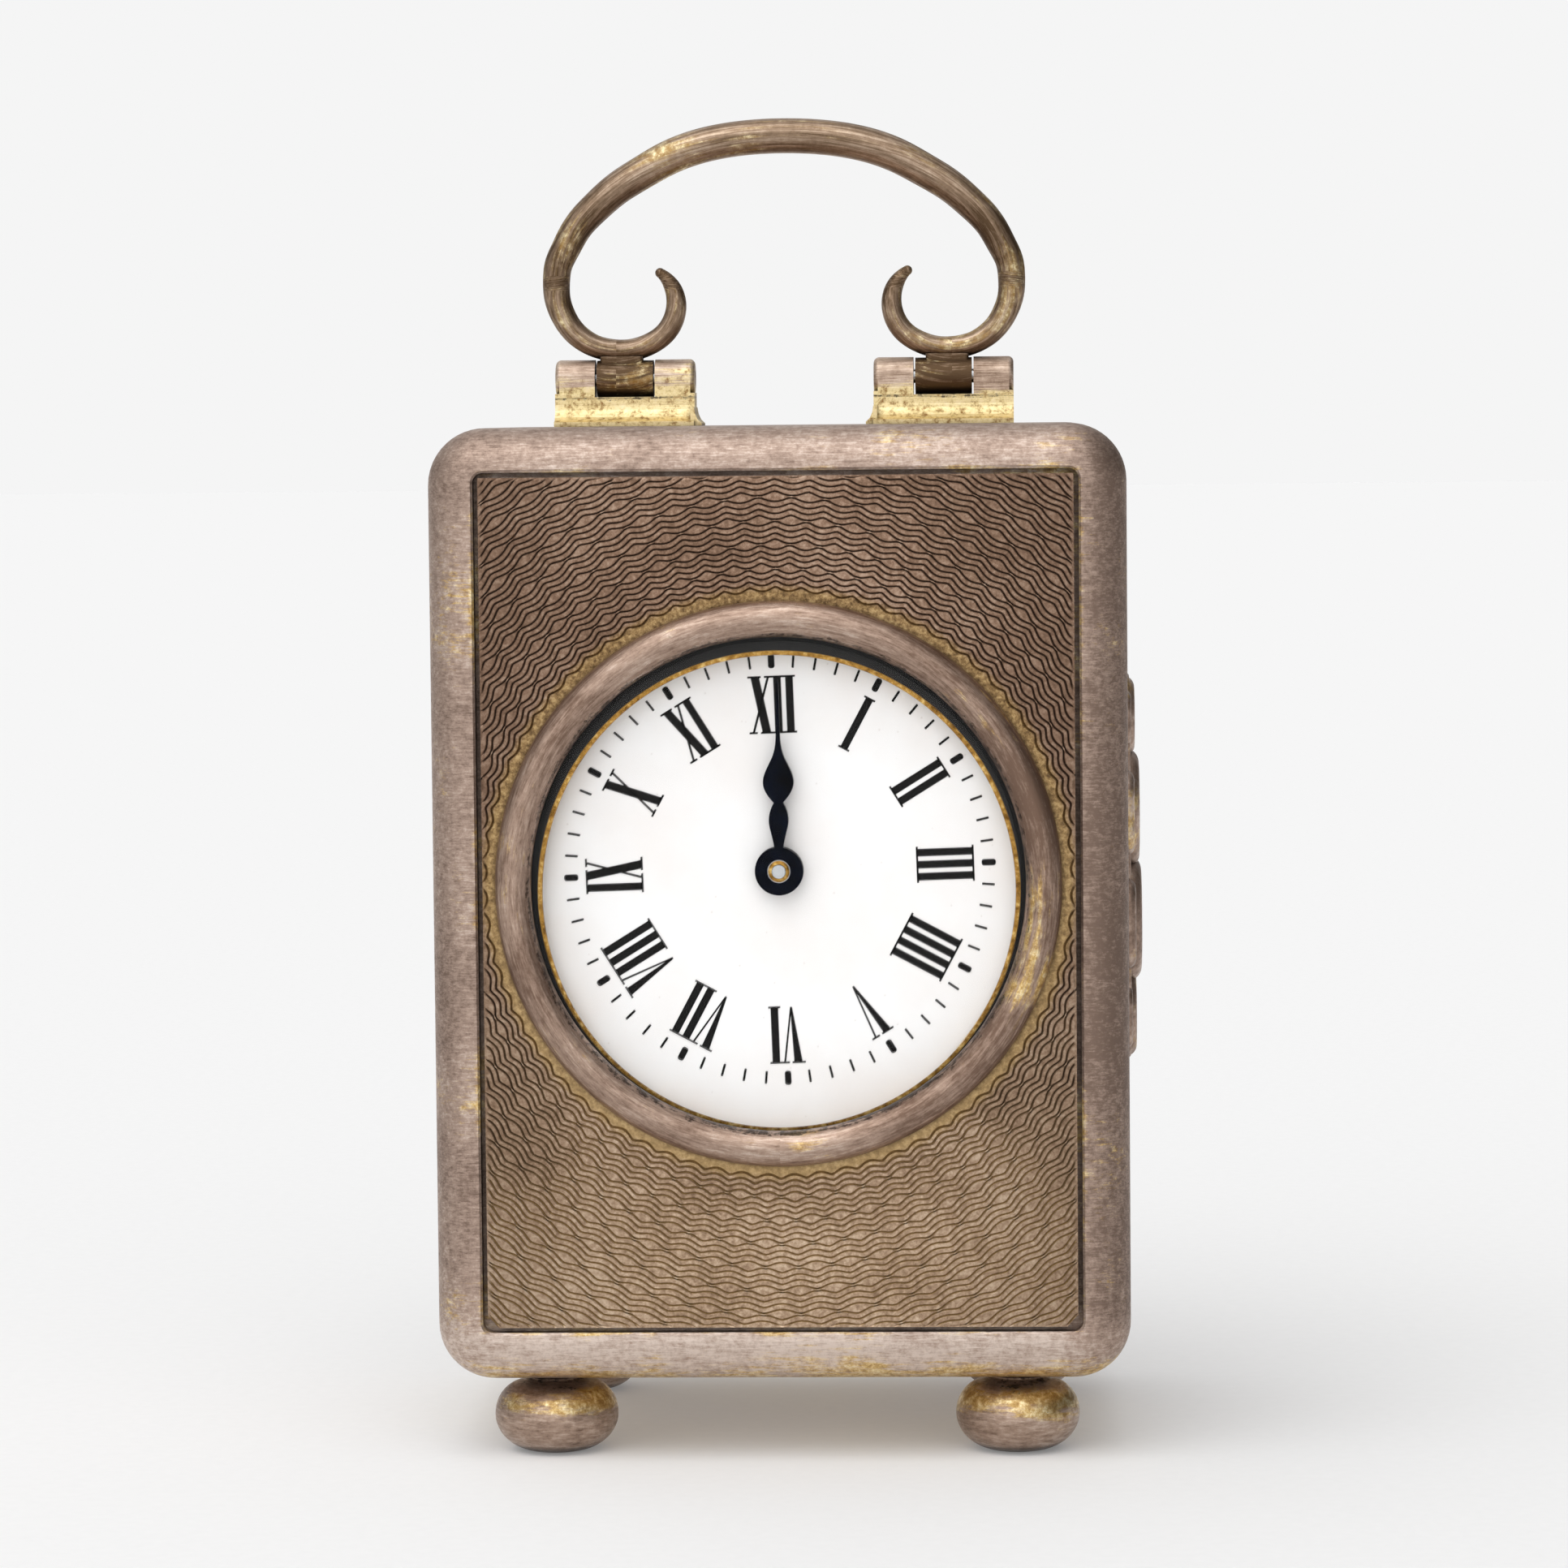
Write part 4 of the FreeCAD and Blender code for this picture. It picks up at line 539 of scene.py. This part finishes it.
# --- Dial --------------------------------------------------------------------------------------
# White vitreous enamel on copper, fired glossy, with numerals and minute ring fired on in black
# a few hundredths of a millimetre thick. The printing sits a little turned on the disc.

DIAL_Z = 46.9 * MM
DIAL_FACE = -18.4 * MM
PRINT_THICK = 0.03 * MM
PRINT_TURN = math.radians(-1.8)
NUMERAL_IN = 10.8 * MM
NUMERAL_OUT = 15.35 * MM
THICK = 0.60 * MM
THIN = 0.15 * MM
CELL = {"I": 0.95 * MM, "V": 1.75 * MM, "X": 1.75 * MM}
HOURS = ["XII", "I", "II", "III", "IIII", "V", "VI", "VII", "VIII", "IX", "X", "XI"]


def enamel():
    """Vitreous enamel: milk white, glassy, with faint pores and clouding."""
    material, tree = new_material("white_vitreous_enamel")
    place = add(tree, "ShaderNodeTexCoord").outputs["Object"]
    clouds = add(tree, "ShaderNodeTexNoise", {"Vector": place, "Scale": 120.0,
                                              "Detail": 3.0}).outputs["Fac"]
    pores = add(tree, "ShaderNodeTexVoronoi", {"Vector": place, "Scale": 700.0}).outputs["Distance"]
    tone = ramp(tree, clouds, [(0.35, "#fbf8f6"), (0.65, "#ffffff")])
    pore = add(tree, "ShaderNodeMapRange", {"Value": pores, "From Min": 0.03, "From Max": 0.07,
                                            "To Min": 0.25, "To Max": 0.0}).outputs[0]
    colour = mixed(tree, pore, tone, "#b9aea4")
    rough = add(tree, "ShaderNodeMapRange", {"Value": clouds, "To Min": 0.1, "To Max": 0.2}).outputs[0]
    bump = add(tree, "ShaderNodeBump", {"Height": clouds, "Strength": 0.06,
                                        "Distance": 0.1 * MM}).outputs[0]
    surface = add(tree, "ShaderNodeBsdfPrincipled", {"Base Color": colour, "Roughness": rough,
                                                     "IOR": 1.52, "Normal": bump})
    add(tree, "ShaderNodeOutputMaterial", {"Surface": surface.outputs[0]})
    return material


def black_enamel():
    """Black enamel colour fired on: slightly uneven, satin."""
    material, tree = new_material("fired_black_enamel")
    place = add(tree, "ShaderNodeTexCoord").outputs["Object"]
    grain = add(tree, "ShaderNodeTexNoise", {"Vector": place, "Scale": 3000.0,
                                             "Detail": 3.0}).outputs["Fac"]
    colour = ramp(tree, grain, [(0.35, "#030202"), (0.7, "#0d0a09")])
    rough = add(tree, "ShaderNodeMapRange", {"Value": grain, "To Min": 0.45, "To Max": 0.65}).outputs[0]
    bump = add(tree, "ShaderNodeBump", {"Height": grain, "Strength": 0.2,
                                        "Distance": 0.02 * MM}).outputs[0]
    surface = add(tree, "ShaderNodeBsdfPrincipled", {"Base Color": colour, "Roughness": rough,
                                                     "Specular IOR Level": 0.12, "Normal": bump})
    add(tree, "ShaderNodeOutputMaterial", {"Surface": surface.outputs[0]})
    return material


finish(enamel(), "dial")
black = black_enamel()


def bar(left, right, low):
    """Hairline serif across the numeral."""
    return [(left, low), (right, low), (right, low + THIN), (left, low + THIN)]


def letter_strokes(letter, left):
    """Strokes of one Roman letter as quads in (across, outward), tops outward."""
    low, high = NUMERAL_IN + THIN / 2, NUMERAL_OUT - THIN / 2
    foot, head = NUMERAL_IN, NUMERAL_OUT - THIN
    wide = CELL[letter]
    mid = left + wide / 2
    if letter == "I":
        return [[(mid - THICK / 2, low), (mid + THICK / 2, low), (mid + THICK / 2, high),
                 (mid - THICK / 2, high)], bar(left, left + wide, foot), bar(left, left + wide, head)]
    inset = 0.14 * MM
    a, b = left + inset, left + wide - inset
    if letter == "V":
        return [[(a, high), (a + THICK * 1.1, high), (mid + 0.1 * MM, low), (mid - 0.05 * MM, low)],
                [(b - THIN, high), (b, high), (mid + 0.1 * MM, low), (mid - 0.02 * MM, low)],
                bar(left - 0.1 * MM, a + THICK * 1.35, head),
                bar(b - 0.45 * MM, left + wide + 0.1 * MM, head)]
    return [[(a, high), (a + THICK * 1.12, high), (b, low), (b - THICK * 1.12, low)],
            [(b - THIN * 1.2, high), (b, high), (a + THIN * 1.2, low), (a, low)],
            bar(left - 0.1 * MM, a + THICK * 1.35, head), bar(b - 0.4 * MM, b + 0.24 * MM, head),
            bar(left - 0.1 * MM, a + 0.4 * MM, foot), bar(b - THICK * 1.35, b + 0.24 * MM, foot)]


def numeral_strokes(text):
    """Strokes of a whole numeral, centred on its own middle."""
    left = -sum(CELL[c] for c in text) / 2
    strokes = []
    for c in text:
        strokes += letter_strokes(c, left)
        left += CELL[c]
    return strokes


def printed_numerals():
    """Twelve radial numerals as thin raised pads of black, one mesh."""
    work = bmesh.new()
    for hour, text in enumerate(HOURS):
        turn = math.radians(30 * hour) + PRINT_TURN
        for stroke in numeral_strokes(text):
            rings = []
            for y in (DIAL_FACE, DIAL_FACE - PRINT_THICK):
                rings.append([work.verts.new((u * math.cos(turn) + v * math.sin(turn), y,
                                              DIAL_Z + v * math.cos(turn) - u * math.sin(turn)))
                              for u, v in stroke])
            work.faces.new(rings[0])
            work.faces.new(rings[1][::-1])
            for k in range(4):
                work.faces.new((rings[0][k], rings[1][k], rings[1][(k + 1) % 4],
                                rings[0][(k + 1) % 4]))
    bmesh.ops.recalc_face_normals(work, faces=work.faces[:])
    mesh = bpy.data.meshes.new("dial_numerals")
    work.to_mesh(mesh)
    work.free()
    mesh.materials.append(black)
    piece = bpy.data.objects.new("dial_numerals", mesh)
    bpy.context.scene.collection.objects.link(piece)
    return piece


def mark_ring_tree():
    """Rounded marks set round a circle, every so many left out."""
    tree = bpy.data.node_groups.new("minute_ring", "GeometryNodeTree")
    keys = {"Count": socket_in(tree, "Count", "NodeSocketInt", 60),
            "Leave out every": socket_in(tree, "Leave out every", "NodeSocketInt", 0)}
    for name in ("Ring radius", "Mark width", "Mark length", "Corner radius", "Ink thickness",
                 "Turn"):
        keys[name] = socket_in(tree, name, "NodeSocketFloat", 0.0)
    keys["Ink"] = socket_in(tree, "Ink", "NodeSocketMaterial")
    tree.interface.new_socket(name="Geometry", in_out="OUTPUT", socket_type="NodeSocketGeometry")
    given = add(tree, "NodeGroupInput").outputs
    index = add(tree, "GeometryNodeInputIndex").outputs[0]
    turn = arithmetic(tree, "MULTIPLY", index, 2 * math.pi)
    turn = arithmetic(tree, "ADD", arithmetic(tree, "DIVIDE", turn, given["Count"]), given["Turn"])
    x = arithmetic(tree, "MULTIPLY", given["Ring radius"], arithmetic(tree, "SINE", turn))
    z = arithmetic(tree, "MULTIPLY", given["Ring radius"], arithmetic(tree, "COSINE", turn))
    place = add(tree, "ShaderNodeCombineXYZ", {"X": x, "Y": DIAL_FACE,
                                               "Z": arithmetic(tree, "ADD", z, DIAL_Z)})
    points = add(tree, "GeometryNodePoints", {"Count": given["Count"], "Position": place.outputs[0]})
    period = arithmetic(tree, "MAXIMUM", given["Leave out every"], 1.0)
    rest = arithmetic(tree, "MODULO", index, period)
    skip = arithmetic(tree, "MULTIPLY", arithmetic(tree, "LESS_THAN", rest, 0.5),
                      arithmetic(tree, "GREATER_THAN", given["Leave out every"], 0.5))
    kept = add(tree, "GeometryNodeDeleteGeometry", {"Geometry": points.outputs[0],
                                                    "Selection": skip}, domain="POINT")
    outline = add(tree, "GeometryNodeCurvePrimitiveQuadrilateral", {"Width": given["Mark width"],
                                                                    "Height": given["Mark length"]})
    rounded = add(tree, "GeometryNodeFilletCurve", {"Curve": outline.outputs[0], "Count": 5,
                                                    "Radius": given["Corner radius"]}, mode="POLY")
    face = add(tree, "GeometryNodeFillCurve", {"Curve": rounded.outputs[0]}, mode="NGONS")
    solid = add(tree, "GeometryNodeExtrudeMesh", {"Mesh": face.outputs[0],
                                                  "Offset Scale": given["Ink thickness"]})
    facing = add(tree, "ShaderNodeCombineXYZ", {"X": math.pi / 2, "Y": stored_turn(tree)})
    marks = add(tree, "GeometryNodeInstanceOnPoints", {"Points": kept.outputs[0],
                                                       "Instance": solid.outputs[0],
                                                       "Rotation": facing.outputs[0]})
    real = add(tree, "GeometryNodeRealizeInstances", {"Geometry": marks.outputs[0]})
    dressed = add(tree, "GeometryNodeSetMaterial", {"Geometry": real.outputs[0],
                                                    "Material": given["Ink"]})
    add(tree, "NodeGroupOutput", {"Geometry": dressed.outputs[0]})
    return tree, keys


def stored_turn(tree):
    """Clockwise angle of a point from the top, read back from where it stands."""
    spot = add(tree, "ShaderNodeSeparateXYZ",
               {"Vector": add(tree, "GeometryNodeInputPosition").outputs[0]}).outputs
    return arithmetic(tree, "ARCTAN2", spot["X"], arithmetic(tree, "SUBTRACT", spot["Z"], DIAL_Z))


numerals = printed_numerals()
ring_tree, key = mark_ring_tree()
minutes = grown("minute_marks", ring_tree, {
    key["Count"]: 60, key["Leave out every"]: 5, key["Ring radius"]: 16.5 * MM,
    key["Mark width"]: 0.18 * MM, key["Mark length"]: 1.0 * MM, key["Corner radius"]: 0.05 * MM,
    key["Ink thickness"]: PRINT_THICK, key["Turn"]: PRINT_TURN, key["Ink"]: black})
fives = grown("five_minute_marks", ring_tree, {
    key["Count"]: 12, key["Leave out every"]: 0, key["Ring radius"]: 16.5 * MM,
    key["Mark width"]: 0.51 * MM, key["Mark length"]: 1.12 * MM, key["Corner radius"]: 0.2 * MM,
    key["Ink thickness"]: PRINT_THICK, key["Turn"]: PRINT_TURN, key["Ink"]: black})
for piece in (numerals, minutes, fives):
    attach(piece, "case")

# --- Hands ---------------------------------------------------------------------------------------
# Steel, sawn and filed to a pear and leaf, polished and heated until blue.


def blued_steel(name, dark, light, roughness):
    """Hardened steel, its colour drifting between two tones and its polish uneven."""
    material, tree = new_material(name)
    place = add(tree, "ShaderNodeTexCoord").outputs["Object"]
    clouds = add(tree, "ShaderNodeTexNoise", {"Vector": place, "Scale": 600.0,
                                              "Detail": 3.0}).outputs["Fac"]
    colour = ramp(tree, clouds, [(0.3, dark), (0.7, light)])
    rough = add(tree, "ShaderNodeMapRange", {"Value": clouds, "To Min": roughness,
                                             "To Max": roughness + 0.15}).outputs[0]
    bump = add(tree, "ShaderNodeBump", {"Height": clouds, "Strength": 0.2,
                                        "Distance": 0.03 * MM}).outputs[0]
    surface = add(tree, "ShaderNodeBsdfPrincipled", {"Base Color": colour, "Metallic": 1.0,
                                                     "Roughness": rough, "Normal": bump})
    add(tree, "ShaderNodeOutputMaterial", {"Surface": surface.outputs[0]})
    return material


hand_steel = blued_steel("heat_blued_steel", "#020204", "#070b18", 0.28)
finish(hand_steel, "hour_hand", "minute_hand", "plate_screws", "click_screws", "platform_screws",
       "hairspring", "door_hinge_pin")
bright_steel = blued_steel("polished_hardened_steel", "#a9acb0", "#d4d6d8", 0.16)
finish(bright_steel, "barrel_arbor", "ratchet_wheel", "click", "intermediate_arbor", "centre_arbor",
       "third_arbor", "contrate_arbor", "cannon_pinion", "lever", "regulator_index", "handle_pins",
       "bracket_screws", "click_spring", "mainspring")

# --- Handle on its two hinge blocks -----------------------------------------------------------
# Silver rod forged to a taper and curled into scrolls, its knuckles turning on steel pins.

def along_the_bail(tree, place):
    """Streaks follow the rod: round the oval of the arch above, round each scroll below."""
    split = add(tree, "ShaderNodeSeparateXYZ", {"Vector": place}).outputs
    across = arithmetic(tree, "ABSOLUTE", split["X"])
    arch_x = arithmetic(tree, "DIVIDE", across, 18.6)
    arch_z = arithmetic(tree, "DIVIDE", arithmetic(tree, "SUBTRACT", split["Z"], 93.6 * MM), 11.85)
    scroll_x = arithmetic(tree, "DIVIDE", arithmetic(tree, "SUBTRACT", across, 13.7 * MM), 4.6)
    scroll_z = arithmetic(tree, "DIVIDE", arithmetic(tree, "SUBTRACT", split["Z"], 92.6 * MM), 4.5)
    pairs = []
    for x, z, size in ((arch_x, arch_z, 15.0), (scroll_x, scroll_z, 4.5)):
        turn = arithmetic(tree, "ARCTAN2", x, z)
        ring = arithmetic(tree, "SQRT", arithmetic(tree, "ADD", arithmetic(tree, "MULTIPLY", x, x),
                                                   arithmetic(tree, "MULTIPLY", z, z)))
        pairs.append(add(tree, "ShaderNodeCombineXYZ",
                         {"X": arithmetic(tree, "MULTIPLY", turn, size * MM),
                          "Y": split["Y"], "Z": arithmetic(tree, "MULTIPLY", ring, size)}).outputs[0])
    low = add(tree, "ShaderNodeMapRange", {"Value": split["Z"], "From Min": 94.2 * MM,
                                           "From Max": 93.0 * MM}).outputs[0]
    blend = add(tree, "ShaderNodeMix", {0: low}, data_type="VECTOR")
    tree.links.new(pairs[0], blend.inputs[4])
    tree.links.new(pairs[1], blend.inputs[5])
    return blend.outputs[1]


def bail_rub_and_painted_light(tree, place):
    """Lighter along the crown and the scrolls, darker between and darkest in the knuckles: the scrolls
    rubbed bright, the crown lit with painted light and the knuckles in painted shade.
    """
    return summed(tree, place, ("Z", 102.0 * MM, 98.0 * MM, -0.09), ("Z", 93.5 * MM, 90.5 * MM, 0.07),
                  ("Z", 88.2 * MM, 87.2 * MM, -0.12))


bail_silver = silver("tarnished_silver_brushed_rod", ("#57432f", "#927b66", "#c8b39e"), 0.30,
                     (160.0, 3600.0, 3600.0), gilt="#a98f62", place_of=along_the_bail,
                     roughness=0.32, painted_light_of=bail_rub_and_painted_light, weights=(0.20, 0.16, 0.64))
finish(bail_silver, "handle")


def hinge_gilding(tree, place):
    """The block's front is still bright; its knuckles have lost most of theirs."""
    return part_of(tree, place, "Z", 85.3 * MM, 84.0 * MM, 0.42)


def hinge_dark(tree, place):
    """Black sulphide along the seam under the knuckles."""
    value = add(tree, "ShaderNodeSeparateXYZ", {"Vector": place}).outputs["Z"]
    off = arithmetic(tree, "ABSOLUTE", arithmetic(tree, "SUBTRACT", value, 84.2 * MM))
    return add(tree, "ShaderNodeMapRange", {"Value": off, "From Min": 0.45 * MM, "From Max": 0.05 * MM,
                                            "To Min": -0.16, "To Max": 0.24}).outputs[0]


hinge_silver = silver("gilt_silver_hinge_block", ("#7c6553", "#bda694", "#e6d6c6"), 0.28,
                      (300.0, 3500.0, 7500.0), gilt="#ead79f", gilt_of=hinge_gilding,
                      dark_of=hinge_dark)
finish(hinge_silver, "bracket_left", "bracket_right")

# --- Feet, flank ornaments and back door --------------------------------------------------------
# Turned bun feet and cast ornaments, gilding left in patches; a flat hinged door behind.

def foot_gilding(tree, place):
    """A gilt belt above the widest turn, where table and hand both miss it."""
    value = add(tree, "ShaderNodeSeparateXYZ", {"Vector": place}).outputs["Z"]
    off = arithmetic(tree, "ABSOLUTE", arithmetic(tree, "SUBTRACT", value, 4.3 * MM))
    return add(tree, "ShaderNodeMapRange", {"Value": off, "From Min": 1.9 * MM, "From Max": 0.4 * MM,
                                            "To Min": -0.16, "To Max": 0.2}).outputs[0]


def foot_dark(tree, place):
    """Black round the neck under the body."""
    return arithmetic(tree, "SUBTRACT", part_of(tree, place, "Z", 4.3 * MM, 5.9 * MM, 0.36), 0.08)


foot_silver = silver("turned_silver_gilt_remnants", ("#705a4c", "#a58e7e", "#cdb9ab"), 0.22,
                     (700.0, 700.0, 4200.0), gilt="#c4a467", roughness=0.34, gilt_of=foot_gilding,
                     dark_of=foot_dark)
finish(foot_silver, "foot_front_left", "foot_front_right", "foot_back_left", "foot_back_right")
ornament_silver = silver("cast_silver_ornament", ("#6d5a4d", "#9e8677", "#cdb9ab"), 0.25,
                         (900.0, 900.0, 900.0))
finish(ornament_silver, "side_cartouche_left", "side_cartouche_right")
finish(case_silver, "back_door", "door_pull")

# --- Movement ------------------------------------------------------------------------------------
# Rolled brass plates and wheels, straight-grained; the platform is frosted and gilt.


def grained_brass(name, dark, light, streak):
    """Sheet metal with a straight grain; streak is its (x, y, z) repeats per metre."""
    material, tree = new_material(name)
    place = add(tree, "ShaderNodeTexCoord").outputs["Object"]
    lines = add(tree, "ShaderNodeMapping", {"Vector": place, "Scale": streak}).outputs[0]
    grain = add(tree, "ShaderNodeTexNoise", {"Vector": lines, "Scale": 1.0, "Detail": 4.0,
                                             "Roughness": 0.7}).outputs["Fac"]
    colour = ramp(tree, grain, [(0.35, dark), (0.65, light)])
    rough = add(tree, "ShaderNodeMapRange", {"Value": grain, "To Min": 0.22, "To Max": 0.4}).outputs[0]
    bump = add(tree, "ShaderNodeBump", {"Height": grain, "Strength": 0.2,
                                        "Distance": 0.03 * MM}).outputs[0]
    surface = add(tree, "ShaderNodeBsdfPrincipled", {"Base Color": colour, "Metallic": 1.0,
                                                     "Roughness": rough, "Normal": bump})
    add(tree, "ShaderNodeOutputMaterial", {"Surface": surface.outputs[0]})
    return material


plate_brass = grained_brass("rolled_brass_straight_grained", "#ad8c4c", "#c8a765",
                            (9000.0, 9000.0, 350.0))
finish(plate_brass, "front_plate", "back_plate", "pillars", "mounting_posts")
wheel_brass = grained_brass("hard_brass_cut_and_polished", "#ab8844", "#cfab62",
                            (1500.0, 300.0, 1500.0))
finish(wheel_brass, "barrel", "barrel_cover", "intermediate_wheel", "centre_wheel", "third_wheel",
       "contrate_wheel", "minute_wheel", "hour_wheel", "escape_wheel", "foot_nuts")
finish(gilding, "platform", "train_cock", "balance_cock", "balance_wheel")
copper = grained_brass("counter_enamelled_copper", "#7a4326", "#a9683f", (900.0, 900.0, 900.0))
finish(copper, "dial_back")

# --- Studio ---------------------------------------------------------------------------------------
# White paper under a dome of soft light, brighter in front and to the left, a weak sun above, and
# a long lens a little above the dial.


def paper_floor():
    """A wide sheet of matt paper that glows a little, as paper lit from below."""
    work = bmesh.new()
    bmesh.ops.create_grid(work, x_segments=8, y_segments=8, size=6.0)
    mesh = bpy.data.meshes.new("paper_floor")
    work.to_mesh(mesh)
    work.free()
    floor = bpy.data.objects.new("paper_floor", mesh)
    bpy.context.scene.collection.objects.link(floor)
    material, tree = new_material("matt_white_paper")
    place = add(tree, "ShaderNodeTexCoord").outputs["Object"]
    fibres = add(tree, "ShaderNodeTexNoise", {"Vector": place, "Scale": 900.0}).outputs["Fac"]
    colour = ramp(tree, fibres, [(0.3, "#e0e0e0"), (0.7, "#e2e2e2")])
    surface = add(tree, "ShaderNodeBsdfPrincipled", {"Base Color": colour, "Roughness": 1.0,
                                                     "Specular IOR Level": 0.0,
                                                     "Emission Color": linear("#ffffff"),
                                                     "Emission Strength": 0.165})
    add(tree, "ShaderNodeOutputMaterial", {"Surface": surface.outputs[0]})
    mesh.materials.append(material)


def soft_dome():
    """Light from every side, darker at both flanks."""
    world = bpy.data.worlds.new("soft_dome")
    bpy.context.scene.world = world
    world.use_nodes = True
    tree = world.node_tree
    tree.nodes.clear()
    way = add(tree, "ShaderNodeTexCoord").outputs["Generated"]
    split = add(tree, "ShaderNodeSeparateXYZ", {"Vector": way}).outputs
    level = arithmetic(tree, "MULTIPLY", split["X"], DOME_RIGHT)
    level = arithmetic(tree, "ADD", level, arithmetic(tree, "MULTIPLY", split["Y"], DOME_BACK))
    flank = arithmetic(tree, "MULTIPLY", split["X"], split["X"])
    level = arithmetic(tree, "ADD", level, arithmetic(tree, "MULTIPLY", flank, DOME_FLANKS))
    level = arithmetic(tree, "MAXIMUM", arithmetic(tree, "ADD", level, DOME_BASE), 0.05)
    seen = add(tree, "ShaderNodeLightPath").outputs["Is Camera Ray"]
    dome = add(tree, "ShaderNodeBackground", {"Color": linear("#ffffff"), "Strength": level})
    paper = add(tree, "ShaderNodeBackground", {"Color": linear("#f5f5f5")})
    both = add(tree, "ShaderNodeMixShader", {0: seen, 1: dome.outputs[0], 2: paper.outputs[0]})
    add(tree, "ShaderNodeOutputWorld", {"Surface": both.outputs[0]})


def soft_sun(name, place, strength, spread):
    """A wide, weak sun shining from a place towards the origin."""
    light = bpy.data.lights.new(name, "SUN")
    light.energy = strength
    light.angle = spread
    lamp = bpy.data.objects.new(name, light)
    lamp.location = place
    lamp.rotation_euler = (-Vector(place)).to_track_quat("-Z", "Y").to_euler()
    bpy.context.scene.collection.objects.link(lamp)


DOME_BASE = 1.13        # brightness straight up
DOME_RIGHT = -0.45      # added towards the right
DOME_BACK = -0.46       # added towards the back
DOME_FLANKS = -1.25     # added towards both sides
paper_floor()
soft_dome()
soft_sun("light_key", (-0.25, -0.55, 1.0), 0.62, math.radians(50))

CAMERA_PLACE = Vector((18.6, -454.1, 82.6)) * MM
CAMERA_YAW = 0.04173        # radians turned left
CAMERA_PITCH = -0.06619     # radians tipped down
CAMERA_ROLL = -0.00944      # radians leaned over
lens = bpy.data.cameras.new("camera")
lens.lens = 127.3
lens.sensor_width = 36.0
camera = bpy.data.objects.new("camera", lens)
yawed = Matrix.Rotation(CAMERA_YAW, 4, "Z") @ Matrix.Rotation(math.pi / 2 + CAMERA_PITCH, 4, "X")
camera.matrix_world = Matrix.Translation(CAMERA_PLACE) @ yawed @ Matrix.Rotation(CAMERA_ROLL, 4, "Z")
bpy.context.scene.collection.objects.link(camera)
bpy.context.scene.camera = camera
bpy.context.scene.view_settings.view_transform = "Standard"
